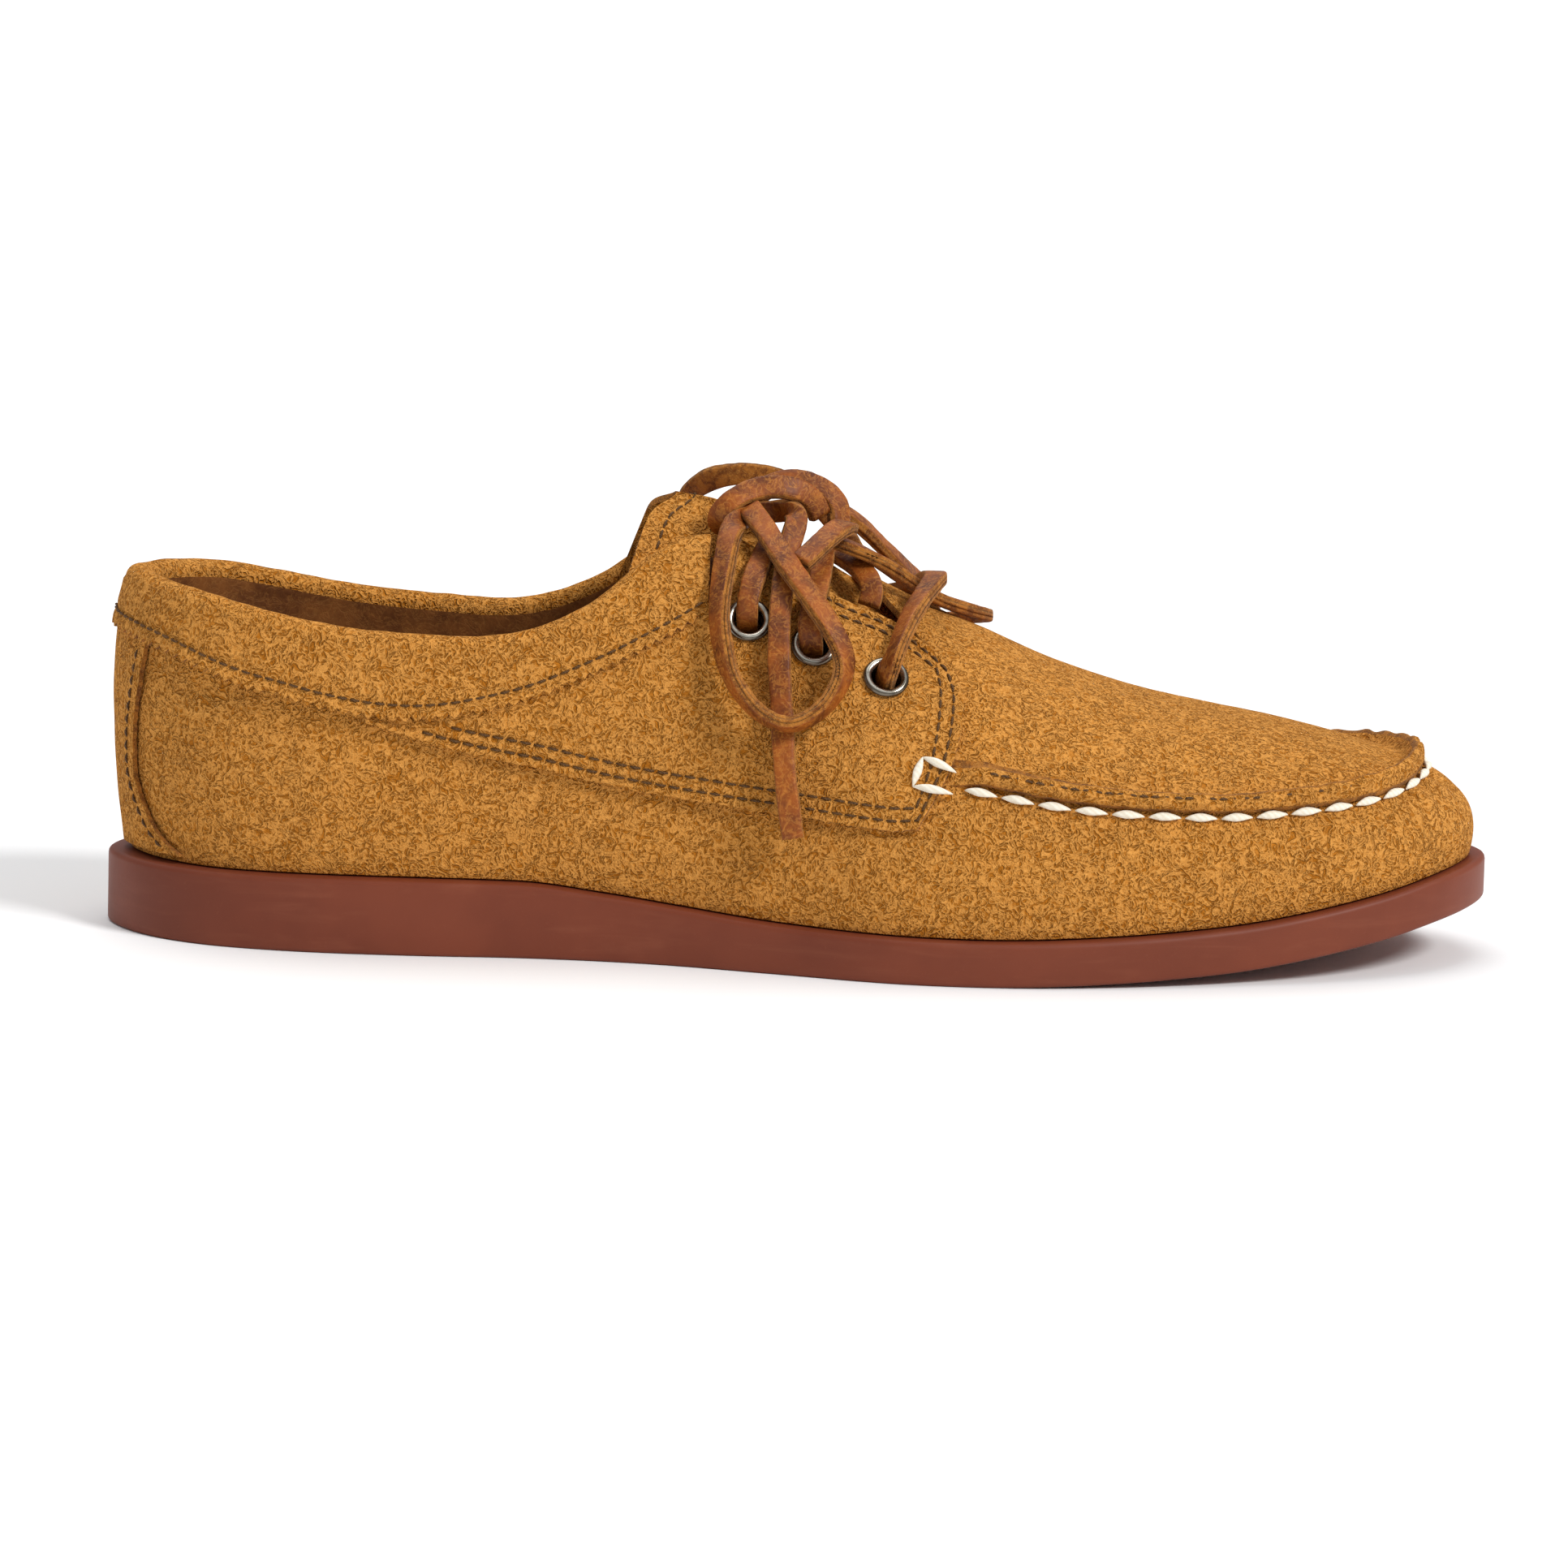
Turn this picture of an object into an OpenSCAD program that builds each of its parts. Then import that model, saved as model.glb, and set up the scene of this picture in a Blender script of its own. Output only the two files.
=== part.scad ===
// Low camp moccasin, right foot: rubber outsole, hand-sewn suede upper, three-eyelet rawhide lacing.
// +X points to the toe, +Z up, the lateral side faces -Y. Origin: on the floor under the middle of the sole.
// Every piece of the upper lies on one last surface, addressed by s (round the sole outline, 0 at the toe,
// 0.25 at the lateral waist, 0.5 at the heel) and t (0 at the sole, 1 on the ridge of the last).

/* [Outsole] */
// Length of the outsole, heel to toe
sole_length = 300; // [270:5:330]
// Thickness of the sole under the heel
sole_heel_t = 16.5; // [13:0.5:20]
// Thickness of the sole under the forefoot
sole_toe_t = 9.8; // [8:0.2:12]
// How far the tip of the sole curls up from the floor
toe_spring = 12.8; // [8:0.4:16]
// Width of the ledge that shows round the upper
ledge = 3.5; // [2.5:0.25:4.5]

/* [Upper] */
// Thickness of the suede
suede_t = 1.5; // [1.2:0.1:1.5]
// Thickness of the inner lining leather
lining_t = 0.7; // [0.5:0.1:0.7]
// Thickness of the padded roll along the topline
collar_roll = 6.3; // [6.3:0.1:6.8]
// Thickness of the suede round the roll
collar_skin = 1.2; // [0.8:0.1:1.2]
// How far the collar reaches down inside the shoe
collar_turn = 8; // [5:1:12]

/* [Lacing] */
// Radius of the hole in an eyelet
eyelet_bore_r = 3.25; // [2.5:0.25:3.5]
// Radius of the flange of an eyelet
eyelet_flange_r = 5; // [4.5:0.25:5.5]
// Diameter of the rawhide lace
lace_d = 3.8; // [3:0.2:4.4]

/* [Stitching] */
// Length of one hand stitch
stitch_len = 7; // [5:0.5:7]
// Spacing of the hand stitches
stitch_pitch = 8; // [8:0.5:10]
// Radius of the waxed hand-sewing thread
stitch_r = 0.8; // [0.5:0.1:0.8]
// Radius of the machine-sewing thread
thread_r = 0.25; // [0.2:0.05:0.3]

/* [Hidden] */
SIDES = ["lateral", "medial"];
EYELET_ROWS = ["front", "middle", "rear"];

TAN = "#b98a44";
LINING_BROWN = "#8a4f22";
THREAD_BROWN = "#8a6a38";
LACE_BROWN = "#7a4020";

size = sole_length / 300;    // every last dimension below is for a 300 mm sole
gap = 0.25;                  // clearance between neighbouring layers of the upper
ball_x = 40 * size;          // the sole lies flat on the floor from the heel to this station

// Outline of the sole from the toe tip, down the lateral side, round the heel and back
OUTLINE = [[150, 2.5], [146, -11], [136, -23.5], [118.5, -35], [96, -43.5], [72, -50], [47, -53.6],
    [22, -52.2], [-4, -44.8], [-30, -37.6], [-56, -34.6], [-82, -35], [-107, -33.6], [-128, -28],
    [-143, -16.5], [-150, 0], [-143, 16.5], [-128, 28], [-106, 33], [-80, 32], [-54, 28.6], [-28, 28.4],
    [-2, 34.5], [22, 44.5], [46, 51.8], [70, 53.7], [94, 51], [117.5, 43.5], [135, 31.5], [146, 17.5]];
heel_pole = -112;            // the ridge of the last runs between these two stations
toe_pole = 92;
// Height of the ridge at each station
RIDGE = [[-112, 110], [-60, 105], [-30, 98], [-17, 94], [0, 86.8], [20, 76.6], [40, 67.3], [55, 61.2],
    [73, 55.3], [92, 51.4]];
heel_tuck = 1.5;             // how much further in the upper sits at the back of the heel
ridge_slope = -0.2;          // fall of the ridge at the toe pole
// Sideways place of the ridge
RIDGE_Y = [[-112, 0], [-60, 0], [10, 4], [60, 4], [92, 3]];
// Underside of the sole ahead of the ball, as a share of the toe spring, then the blend of its thickness
TREAD = [[20, 0], [40, 0], [60, 0.04], [80, 0.125], [100, 0.27], [126, 0.62], [138, 0.83], [150, 1]];
SOLE_BLEND = [[-150, 1], [-60, 0.985], [-40, 0.69], [-24, 0.42], [-5, 0.16], [15, 0.04], [40, 0], [150, 0]];
// Shape of the side wall: how far it bellies out, how soon it rises, how wide the top stays
BELLY = [[-150, 6.8], [-110, 7], [-60, 4], [-20, 3], [20, 4], [60, 5], [92, 6], [120, 6], [150, 4.6]];
RISE = [[-150, 0.5], [-60, 0.5], [0, 0.45], [60, 0.5], [92, 0.55], [150, 0.6]];
DOME = [[-150, 1.08], [-110, 1.05], [-60, 0.98], [-20, 0.66], [20, 0.6], [60, 0.72], [92, 0.79], [120, 0.81],
    [150, 0.8]];

// Seam lines of the upper, as t against s on one side
APRON_SEAM = [[0, 0.545], [0.023, 0.525], [0.045, 0.497], [0.067, 0.468], [0.085, 0.443], [0.11, 0.424],
    [0.148, 0.421], [0.19, 0.398], [0.225, 0.388]];
TOPLINE = [[0.286, 0.81], [0.295, 0.76], [0.303, 0.69], [0.31, 0.595], [0.32, 0.525], [0.328, 0.47],
    [0.338, 0.435], [0.36, 0.41], [0.38, 0.41], [0.4, 0.418], [0.417, 0.436], [0.435, 0.458], [0.46, 0.475],
    [0.5, 0.48]];
COLLAR_EDGE = [[0.286, 0.58], [0.295, 0.513], [0.303, 0.46], [0.313, 0.405], [0.325, 0.35], [0.338, 0.302],
    [0.352, 0.268], [0.37, 0.255], [0.39, 0.27], [0.41, 0.286], [0.427, 0.305], [0.449, 0.341],
    [0.472, 0.36], [0.5, 0.365]];
QUARTER_FOOT = [[0.218, 0.25], [0.23, 0.243], [0.262, 0.222], [0.281, 0.21], [0.303, 0.195], [0.325, 0.19],
    [0.347, 0.205], [0.365, 0.225], [0.378, 0.241], [0.388, 0.262]];
// s of the quarter's slanted front edge against t
QUARTER_FRONT = [[0.24, 0.23], [0.33, 0.225], [0.42, 0.2202], [0.51, 0.218], [0.6, 0.2172], [0.68, 0.22]];
EYESTAY_EDGE = [[0.218, 0.68], [0.223, 0.71], [0.232, 0.74], [0.238, 0.76], [0.252, 0.745], [0.27, 0.76],
    [0.286, 0.8]];
HEEL_STAY_HALF = [[0, 0.06], [0.05, 0.04], [0.1, 0.033], [0.14, 0.028], [0.21, 0.03], [0.28, 0.033],
    [0.36, 0.038]];
quarter_front = 0.218;       // nominal s of the quarter's front edge
slant_rear = 17 / 72;        // s behind which the quarter's stations no longer slant
quarter_rear = 0.381;        // s of its rear tip
eyestay_rear = 0.286;        // s where the eyestay ends and the collar starts
rim_rear = 0.212;            // s where the raised rim of the plug dies away
plug_rear = 0.222;           // s of the plug's rear edge under the quarters
plug_throat = 0.25;          // s of the plug's rear edge on the ridge
plug_top = 0.94;             // t where the two halves of the plug's mesh are joined
EYELET_S = [0.24, 0.26, 0.278];
eyelet_t = 0.58;

// Depths of the layers, outwards from the last surface
counter_out = -suede_t - gap;
counter_t = 0.6;
lining_out = counter_out - counter_t - gap;
lining_in = lining_out - lining_t;
quarter_out = gap + suede_t - 0.2;
collar_out = 1.5;
tongue_side = -5.4;          // depth of the tongue where it slides behind the quarters
tongue_hinge_x = 30;         // station of the line that the tongue is sewn and folds along
tongue_end_x = -33;          // station of the middle of its free end
tongue_sweep = 8;            // how much further back its corners reach

// Routes of the lace. The front bar runs from the lateral front eyelet to the medial middle one, the return
// from the medial front eyelet to the knot; every bow strand is one loop and then its hanging end.
LACE_FRONT_BAR = [[17.5, -27.5, 59.5], [18, -31, 63], [19.5, -32, 67], [23, -22, 74.5], [27, -10, 79],
    [28.5, -3, 80], [27.5, 5, 79], [24, 14, 75.5], [17, 23, 72.5], [9, 27, 71], [5, 26, 69], [4.5, 20.5, 65.5]];
LACE_FRONT_RETURN = [[6, -6, 88], [15, -6, 84.5], [27, 2, 75.8], [34, 7, 72.4], [39, 13, 70], [38, 22, 68],
    [31, 31, 66], [23, 34, 64], [18, 32, 63], [19, 25, 59.5]];
LACE_MIDDLE_LATERAL = [[2, -24.5, 65.5], [2, -28, 69], [1, -28, 73], [3, -21, 80], [4, -12, 86]];
LACE_REAR_LATERAL = [[-12, -22.5, 71], [-12, -26, 74], [-12, -26, 78], [-10, -20, 84], [-8, -11, 87]];
LACE_REAR_MEDIAL = [[-9.5, 17.5, 70.5], [-10, 23, 73], [-10, 24, 77], [-12, 18, 84], [-13, 9, 90]];
LACE_UNDER_ARC = [[14, -12, 75], [15, -11, 78], [13, -7, 81.5], [9, -2, 84], [4, 3, 86]];
KNOT_WRAP = [[-16, -4, 90], [-19, -9, 92], [-17, -10, 96], [-11, -7, 99], [-4, -6, 99.5], [1, -4, 97],
    [3, -3, 93]];
KNOT_OVER = [[-13, 2, 94], [-9, 3, 98], [-3, 3, 100], [3, 2, 98.5], [7, 0, 95], [7, -3, 91]];
KNOT_TUCK = [[-1, -22, 85.5], [2, -19.5, 88], [5, -16, 90.5], [8, -11, 92], [9, -7, 91]];
BOW_LATERAL = [[-12, -10, 95], [-9, -15, 92], [-5, -22, 87], [0, -28, 81], [4, -32, 76], [8, -35, 70],
    [9, -38, 65], [6, -42, 59], [1, -44, 55], [-4, -44, 54], [-10, -42, 57], [-15, -38, 63],
    [-17, -35, 69], [-18, -31, 76], [-17, -22, 86], [-15.5, -13.7, 92], [-12, -5, 93.2], [-7, -2, 93.5],
    [-3, -6, 94.5], [-2, -11, 92.5], [-4, -17.5, 86], [-5, -28, 75.5], [-5, -34, 67], [-4, -39, 55],
    [-3, -44.5, 43], [-1, -47, 30]];
BOW_MEDIAL = [[3, 7, 95], [7, 8, 93], [12, 9, 89.5], [20, 15, 81], [26, 25, 74], [29, 35, 68],
    [24, 42, 60], [13, 43, 52], [2, 40, 52], [-9, 36, 60], [-17, 34, 70], [-23, 30, 81], [-26, 22, 91],
    [-23, 14, 97], [-16, 9, 100], [-8, 9, 99.5], [-1, 13, 96], [6, 20, 89], [12, 30, 78], [15, 36, 66],
    [16, 38, 53], [18, 43, 42], [19, 45, 32]];

// ---------------------------------------------------------------- curves

function unit(v) = v / norm(v);
function mix(a, b, f) = a * (1 - f) + b * f;
function clamp01(f) = min(max(f, 0), 1);
function fold(s) = let(w = s - floor(s)) w > 0.5 ? 1 - w : w;
function spline(a, b, c, d, f) =
    0.5 * (2 * b + (c - a) * f + (2 * a - 5 * b + 4 * c - d) * f * f + (3 * b - a - 3 * c + d) * f * f * f);
function span_of(table, x, i = 0) = i >= len(table) - 2 || x < table[i + 1][0] ? i : span_of(table, x, i + 1);
function slope_at(table, i) =
    let(a = max(i - 1, 0), b = min(i + 1, len(table) - 1))
    (table[b][1] - table[a][1]) / (table[b][0] - table[a][0]);
// Smooth curve through a table of [x, y] points, held level past its ends
function curve(table, x_free) =
    let(x = min(max(x_free, table[0][0]), table[len(table) - 1][0]), i = span_of(table, x),
        h = table[i + 1][0] - table[i][0], f = (x - table[i][0]) / h, g = 1 - f)
    (1 + 2 * f) * g * g * table[i][1] + f * g * g * h * slope_at(table, i)
    + f * f * (3 - 2 * f) * table[i + 1][1] - f * f * g * h * slope_at(table, i + 1);
function bezier(t, a, b, c, d) = let(u = 1 - t) u * u * u * a + 3 * u * u * t * b + 3 * u * t * t * c + t * t * t * d;
// Smooth route through a list of points, with a given number of steps to each span
function smooth_route(points, steps) =
    let(n = len(points), at = function(i) points[min(max(i, 0), n - 1)])
    [for (i = [0:(n - 1) * steps]) let(k = min(floor(i / steps), n - 2), f = i / steps - k)
        spline(at(k - 1), at(k), at(k + 1), at(k + 2), f)];

// ---------------------------------------------------------------- the last

outline_count = len(OUTLINE);
function outline_knot(i) = OUTLINE[(i % outline_count + outline_count) % outline_count];
function outline_raw(s) =
    let(q = s * outline_count, i = floor(q), f = q - i)
    spline(outline_knot(i - 1), outline_knot(i), outline_knot(i + 1), outline_knot(i + 2), f);
// Point of the sole outline at s, moved inwards
function outline_at(s, inset) =
    let(v = unit(outline_raw(s + 0.001) - outline_raw(s - 0.001))) size * outline_raw(s) + inset * [v[1], -v[0]];
function tread_z(x) = x < ball_x ? 0 : toe_spring * curve(TREAD, x / size);
function seat_z(x) = tread_z(x) + mix(sole_toe_t, sole_heel_t, curve(SOLE_BLEND, x / size));
// How far the foot of the upper sits in from the edge of the sole
function foot_inset(s) =
    let(w = clamp01((-outline_raw(s)[0] - 122) / 26)) ledge + heel_tuck * w * w * (3 - 2 * w);
function last_at(s, t) =
    let(foot = outline_at(s, foot_inset(s)), x = foot[0] / size, xc = min(max(x, heel_pole), toe_pole),
        ridge = size * [xc, curve(RIDGE_Y, xc)], away = foot - ridge, r = norm(away), u = away / r,
        z0 = seat_z(foot[0]), z1 = size * curve(RIDGE, xc), d = curve(DOME, x),
        fall = x > toe_pole ? ridge_slope * d * r * u[0] : 0,
        out = bezier(t, r, r + size * curve(BELLY, x), d * r, 0),
        z = bezier(t, z0, mix(z0, z1, curve(RISE, x)), z1 + fall, z1))
    [ridge[0] + u[0] * out, ridge[1] + u[1] * out, z];
function last_up(s, t) = last_at(s, t + 0.01) - last_at(s, t - 0.01);
function last_normal(s, t) = unit(cross(last_up(s, t), last_at(s + 0.002, t) - last_at(s - 0.002, t)));
// Point at a depth outwards from the last surface
function skin(s, t, depth) = last_at(s, t) + depth * last_normal(s, t);
// Change of t, or of s, that moves a point one millimetre
function t_per_mm(s, t) = 0.02 / norm(last_up(s, t));
function s_per_mm(s, t) = 0.004 / norm(last_at(s + 0.002, t) - last_at(s - 0.002, t));
// s at a station along the foot, on one side of the outline
S_LATERAL = [for (i = [15:-1:0]) [OUTLINE[i][0], i / outline_count]];
S_MEDIAL = [for (i = [15:30]) [outline_knot(i)[0], i / outline_count]];
function s_at(x, medial) = lookup(x, medial ? S_MEDIAL : S_LATERAL);

function seam_t(s) = curve(APRON_SEAM, fold(s));
function rim_share(s) = clamp01((rim_rear - fold(s)) / 0.012);
function collar_edge_t(s) = curve(COLLAR_EDGE, fold(s));
// t of the line along which the collar roll is centred
roll_r = collar_roll / 2;
function roll_t(s) = let(top = curve(TOPLINE, fold(s))) top - roll_r * t_per_mm(s, top);
function lining_top_t(s) = let(f = fold(s))
    f < eyestay_rear ? curve(EYESTAY_EDGE, f) - 0.01 : roll_t(s) - 1.6 * t_per_mm(s, roll_t(s));
function tub_top_t(s) = let(f = fold(s))
    f < 0.225 ? seam_t(s) + 0.02 * rim_share(s)
    : f < 0.32 ? min(0.388 + (f - 0.225) * 1.5, lining_top_t(s)) : lining_top_t(s);

// Every layer has its rows at the same stations, so that their flat facets stay parallel
station_count = 72;
function stations(from, to) = concat([from],
    [for (i = [floor(from * station_count + 1.2):ceil(to * station_count - 1.2)]) i / station_count], [to]);
function mirrored(half) = concat(half, [for (i = [len(half) - 2:-1:0]) 1 - half[i]]);
function range(a, b, count) = [for (i = [0:count]) mix(a, b, i / count)];

// ---------------------------------------------------------------- meshes

// Triangles of a grid of points whose rows follow s and whose columns follow t
function grid_faces(rows, cols, closed = false) =
    [for (i = [0:rows - (closed ? 1 : 2)], j = [0:cols - 2])
        let(a = i * cols + j, b = (i + 1) % rows * cols + j)
        each [[a, b, b + 1], [a, b + 1, a + 1]]];
// A sheet of leather: outer and inner points with the same faces, joined along a rim of point numbers
module sheet_solid(outer, inner, faces, rim) {
    n = len(outer);
    walls = [for (e = [0:len(rim) - 1]) let(p = rim[e], q = rim[(e + 1) % len(rim)])
        each [[q, p, p + n], [q, p + n, q + n]]];
    polyhedron(concat(outer, inner), concat(faces, [for (f = faces) [f[2] + n, f[1] + n, f[0] + n]], walls),
        convexity = 8);
}
module grid_sheet(outer, inner) {
    rows = len(outer);
    cols = len(outer[0]);
    rim = concat([for (i = [0:rows - 1]) i * cols], [for (j = [1:cols - 1]) (rows - 1) * cols + j],
        [for (i = [rows - 2:-1:0]) i * cols + cols - 1], [for (j = [cols - 2:-1:1]) j]);
    sheet_solid([for (row = outer) each row], [for (row = inner) each row], grid_faces(rows, cols), rim);
}
// A patch of the upper between two t curves over a list of s stations, which may slant with t
module last_patch(stations, low, high, cols, depth_out, depth_in, slant = function(s, t) s) {
    grid = function(depth) [for (s = stations) [for (j = [0:cols - 1])
        let(t = mix(low(s), high(s), j / (cols - 1))) skin(slant(s, t), t, depth)]];
    grid_sheet(grid(depth_out), grid(depth_in));
}
// A solid through a list of rings of points, closed at both ends
module ring_solid(rings) {
    rows = len(rings);
    sides = len(rings[0]);
    walls = [for (i = [0:rows - 2], j = [0:sides - 1])
        let(a = i * sides + j, b = i * sides + (j + 1) % sides)
        each [[a, b + sides, a + sides], [a, b, b + sides]]];
    caps = [for (j = [1:sides - 2]) each [[0, j + 1, j],
        [(rows - 1) * sides, (rows - 1) * sides + j, (rows - 1) * sides + j + 1]]];
    polyhedron([for (ring = rings) each ring], concat(walls, caps), convexity = 8);
}
function tangent_at(path, i) = unit(path[min(i + 1, len(path) - 1)] - path[max(i - 1, 0)]);
// Side vectors carried along a path without twist
function carried_sides(path) =
    let(t0 = tangent_at(path, 0), start = unit(cross(t0, abs(t0[2]) < 0.8 ? [0, 0, 1] : [1, 0, 0])))
    [for (i = 0, v = start; i < len(path);
        i = i + 1, v = i < len(path) ? let(t = tangent_at(path, i)) unit(v - (v * t) * t) : v) v];
module tube(path, r, sides) {
    across = carried_sides(path);
    ring_solid([for (i = [0:len(path) - 1]) let(up = cross(tangent_at(path, i), across[i]))
        [for (k = [0:sides - 1]) let(a = -360 * k / sides) path[i] + r * (cos(a) * across[i] + sin(a) * up)]]);
}
module lace_strand(route, steps) {
    tube(smooth_route(route, steps), lace_d / 2, 8);
}
// Machine thread laid on a leather face along a list of [s, t] points
module machine_thread(line, depth) {
    tube([for (p = line) skin(p[0], p[1], depth + thread_r + 0.05)], thread_r, 4);
}
module rod(a, b, r) {
    v = b - a;
    translate(a) rotate([0, acos(v[2] / norm(v)), atan2(v[1], v[0])]) cylinder(h = norm(v), r = r, $fn = 24);
}

// ---------------------------------------------------------------- sole and footbed

sole_stations = range(-150 * size, 150 * size, 40);
tread_stations = concat([-150 * size], range(ball_x, 150 * size, 16));
// Solid between two heights under the outline of the sole, moved inwards by an inset that may change with s
module sole_layer(inset, low_stations, low, high) {
    intersection() {
        translate([0, 0, -5]) linear_extrude(60)
            polygon([for (i = [0:95]) outline_at(i / 96, inset(i / 96))]);
        rotate([90, 0, 0]) linear_extrude(140, center = true)
            polygon(concat([for (x = low_stations) [x, low(x)]],
                [for (i = [len(sole_stations) - 1:-1:0]) [sole_stations[i], high(sole_stations[i])]]));
    }
}
module outsole() {
    color("#7f3d28")
        sole_layer(function(s) 0, tread_stations, function(x) tread_z(x), function(x) seat_z(x) - 0.3);
}
footbed_inset = function(s) foot_inset(s) + suede_t + 1.4;
function above_tub(x, h) = seat_z(x) + suede_t + h;
module insole_board() {
    color("#a98a60")
        sole_layer(footbed_inset, sole_stations, function(x) above_tub(x, 0.4), function(x) above_tub(x, 1.8));
}
module footbed() {
    color("#c9b48e")
        sole_layer(footbed_inset, sole_stations, function(x) above_tub(x, 1.9), function(x) above_tub(x, 4.4));
}
module sock_liner() {
    color(LINING_BROWN)
        sole_layer(footbed_inset, sole_stations, function(x) above_tub(x, 4.5), function(x) above_tub(x, 5.5));
}

// ---------------------------------------------------------------- upper

// The tub wraps under the foot and up the walls, as far as the apron seam and the topline
module moccasin_tub() {
    rows = station_count;
    cols = 7;
    point = function(i, j, depth) let(s = 0.5 + i / rows, p = skin(s, tub_top_t(s) * j / (cols - 1), depth))
        j == 0 && depth < 0 ? [p[0], p[1], seat_z(p[0]) + suede_t] : p;
    grid = function(depth) [for (i = [0:rows - 1], j = [0:cols - 1]) point(i, j, depth)];
    first = function(i) (i % rows) * cols;
    bottom = [for (i = [0:rows / 2 - 1]) each
        i == 0 ? [[first(1), first(0), first(rows - 1)]]
        : i == rows / 2 - 1 ? [[first(i + 1), first(i), first(rows - i)]]
        : [[first(i + 1), first(i), first(rows - i)], [first(i + 1), first(rows - i), first(rows - i - 1)]]];
    color(TAN) sheet_solid(grid(0), grid(-suede_t), concat(grid_faces(rows, cols, true), bottom),
        [for (i = [rows - 1:-1:0]) i * cols + cols - 1]);
}
// The plug covers the top of the foot. Its edge is a raised rim that sits on the tub.
PLUG_T = [0, 0.05, 0.12, 0.25, 0.5, 0.75, 1];
PLUG_OUT = [2.0, 2.3, 1.0, 0.3, 0.3, 0.3, 0.3];
PLUG_IN = [0.15, 0.15, -0.7, -1.2, -1.2, -1.2, -1.2];
module toe_plug() {
    rows = 35;
    cols = len(PLUG_T);
    grid = function(profile, flat) [for (i = [0:rows - 1], j = [0:cols - 1])
        let(rear = j < 5 ? plug_rear : mix(plug_rear, plug_throat, (j - 4) / 2),
            s = rear * (2 * i / (rows - 1) - 1), low = seam_t(s) + 0.015 * (1 - rim_share(s)),
            t = mix(low, plug_top, PLUG_T[j]))
        skin(s, t, mix(flat, profile[j], rim_share(s)))];
    top = function(i) i * cols + cols - 1;
    bridge = [for (i = [0:(rows - 1) / 2 - 1]) each
        i == (rows - 1) / 2 - 1 ? [[top(i), top(i + 1), top(rows - 1 - i)]]
        : [[top(i), top(i + 1), top(rows - 2 - i)], [top(i), top(rows - 2 - i), top(rows - 1 - i)]]];
    rim = concat([for (i = [0:rows - 1]) i * cols], [for (j = [1:cols - 1]) (rows - 1) * cols + j],
        [for (j = [cols - 1:-1:1]) j]);
    color(TAN) sheet_solid(grid(PLUG_OUT, -0.05), grid(PLUG_IN, -suede_t),
        concat(grid_faces(rows, cols), bridge), rim);
}
QUARTER_S = concat(stations(quarter_front, 0.284), stations(0.288, quarter_rear));
function slanted(s, t) =
    s > 0.5 ? 1 - slanted(1 - s, t)
    : s > slant_rear ? s
    : mix(curve(QUARTER_FRONT, t), slant_rear, (s - quarter_front) / (slant_rear - quarter_front));
function quarter_top_t(s) = let(f = fold(s)) f < eyestay_rear ? curve(EYESTAY_EDGE, f) : collar_edge_t(s) - 0.012;
function side_s(s, side) = side == "medial" ? 1 - s : s;
function side_stations(list, side) =
    side == "medial" ? [for (i = [len(list) - 1:-1:0]) 1 - list[i]] : list;
module on_eyelet(side, i) {
    s = side_s(EYELET_S[i], side);
    n = last_normal(s, eyelet_t);
    translate(last_at(s, eyelet_t)) rotate([0, acos(n[2]), atan2(n[1], n[0])]) children();
}
module eyelet_holes(side) {
    for (i = [0:2]) on_eyelet(side, i) cylinder(h = 16, r = eyelet_bore_r + 0.6, center = true, $fn = 48);
}
// Quarter: the outer panel that carries the eyelets
module quarter(side) {
    color(TAN) difference() {
        last_patch(side_stations(QUARTER_S, side), function(s) curve(QUARTER_FOOT, fold(s)),
            function(s) quarter_top_t(s), 8, quarter_out, gap, function(s, t) slanted(s, t));
        eyelet_holes(side);
    }
}
module quarter_lining() {
    color(LINING_BROWN) difference() {
        last_patch(mirrored(concat(stations(0.226, 0.284), stations(0.2885, 0.5))), function(s) 0.09,
            function(s) lining_top_t(s), 7, lining_out, lining_in);
        for (side = SIDES) eyelet_holes(side);
    }
}
module heel_counter() {
    color("#c7b79a") last_patch(stations(0.4, 0.6), function(s) 0.1, function(s) 0.33, 5,
        counter_out, counter_out - counter_t);
}
module heel_stay() {
    grid = function(depth) [for (i = [0:8]) [for (j = [0:7]) let(t = 0.012 + 0.336 * j / 7)
        skin(0.5 + (i / 4 - 1) * curve(HEEL_STAY_HALF, t), t, depth)]];
    color(TAN) grid_sheet(grid(quarter_out), grid(gap + 0.2));
}

// ---------------------------------------------------------------- collar

collar_stations = mirrored(concat([0.289], range(21 / 72, 25 / 72, 8), stations(26 / 72, 0.5)));
// Centre of the roll, its outward direction and its upward direction
function roll_frame(s) = let(t = roll_t(s))
    [skin(s, t, collar_out - roll_r), last_normal(s, t), unit(last_up(s, t))];
function roll_point(f, r, a) = f[0] + r * (cos(a) * f[1] + sin(a) * f[2]);
function collar_row(s, skin_in) =
    let(t = roll_t(s), edge = collar_edge_t(s), f = roll_frame(s), turn = collar_turn * t_per_mm(s, t))
    concat([for (j = [0:2]) skin(s, mix(edge, t, j / 3), collar_out - skin_in)],
        [for (a = [0:30:180]) roll_point(f, roll_r - skin_in, a)],
        [for (j = [1:2]) skin(s, t - turn * j / 2, collar_out - collar_roll + skin_in)]);
module collar_band() {
    color(TAN) grid_sheet([for (s = collar_stations) collar_row(s, 0)],
        [for (s = collar_stations) collar_row(s, collar_skin)]);
}
module collar_foam() {
    core_r = roll_r - collar_skin - 0.15;
    color("#e5d9a8") ring_solid([for (s = collar_stations) let(f = roll_frame(s))
        [for (a = [180:-36:0]) roll_point(f, core_r, a)]]);
}

// ---------------------------------------------------------------- tongue

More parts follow.
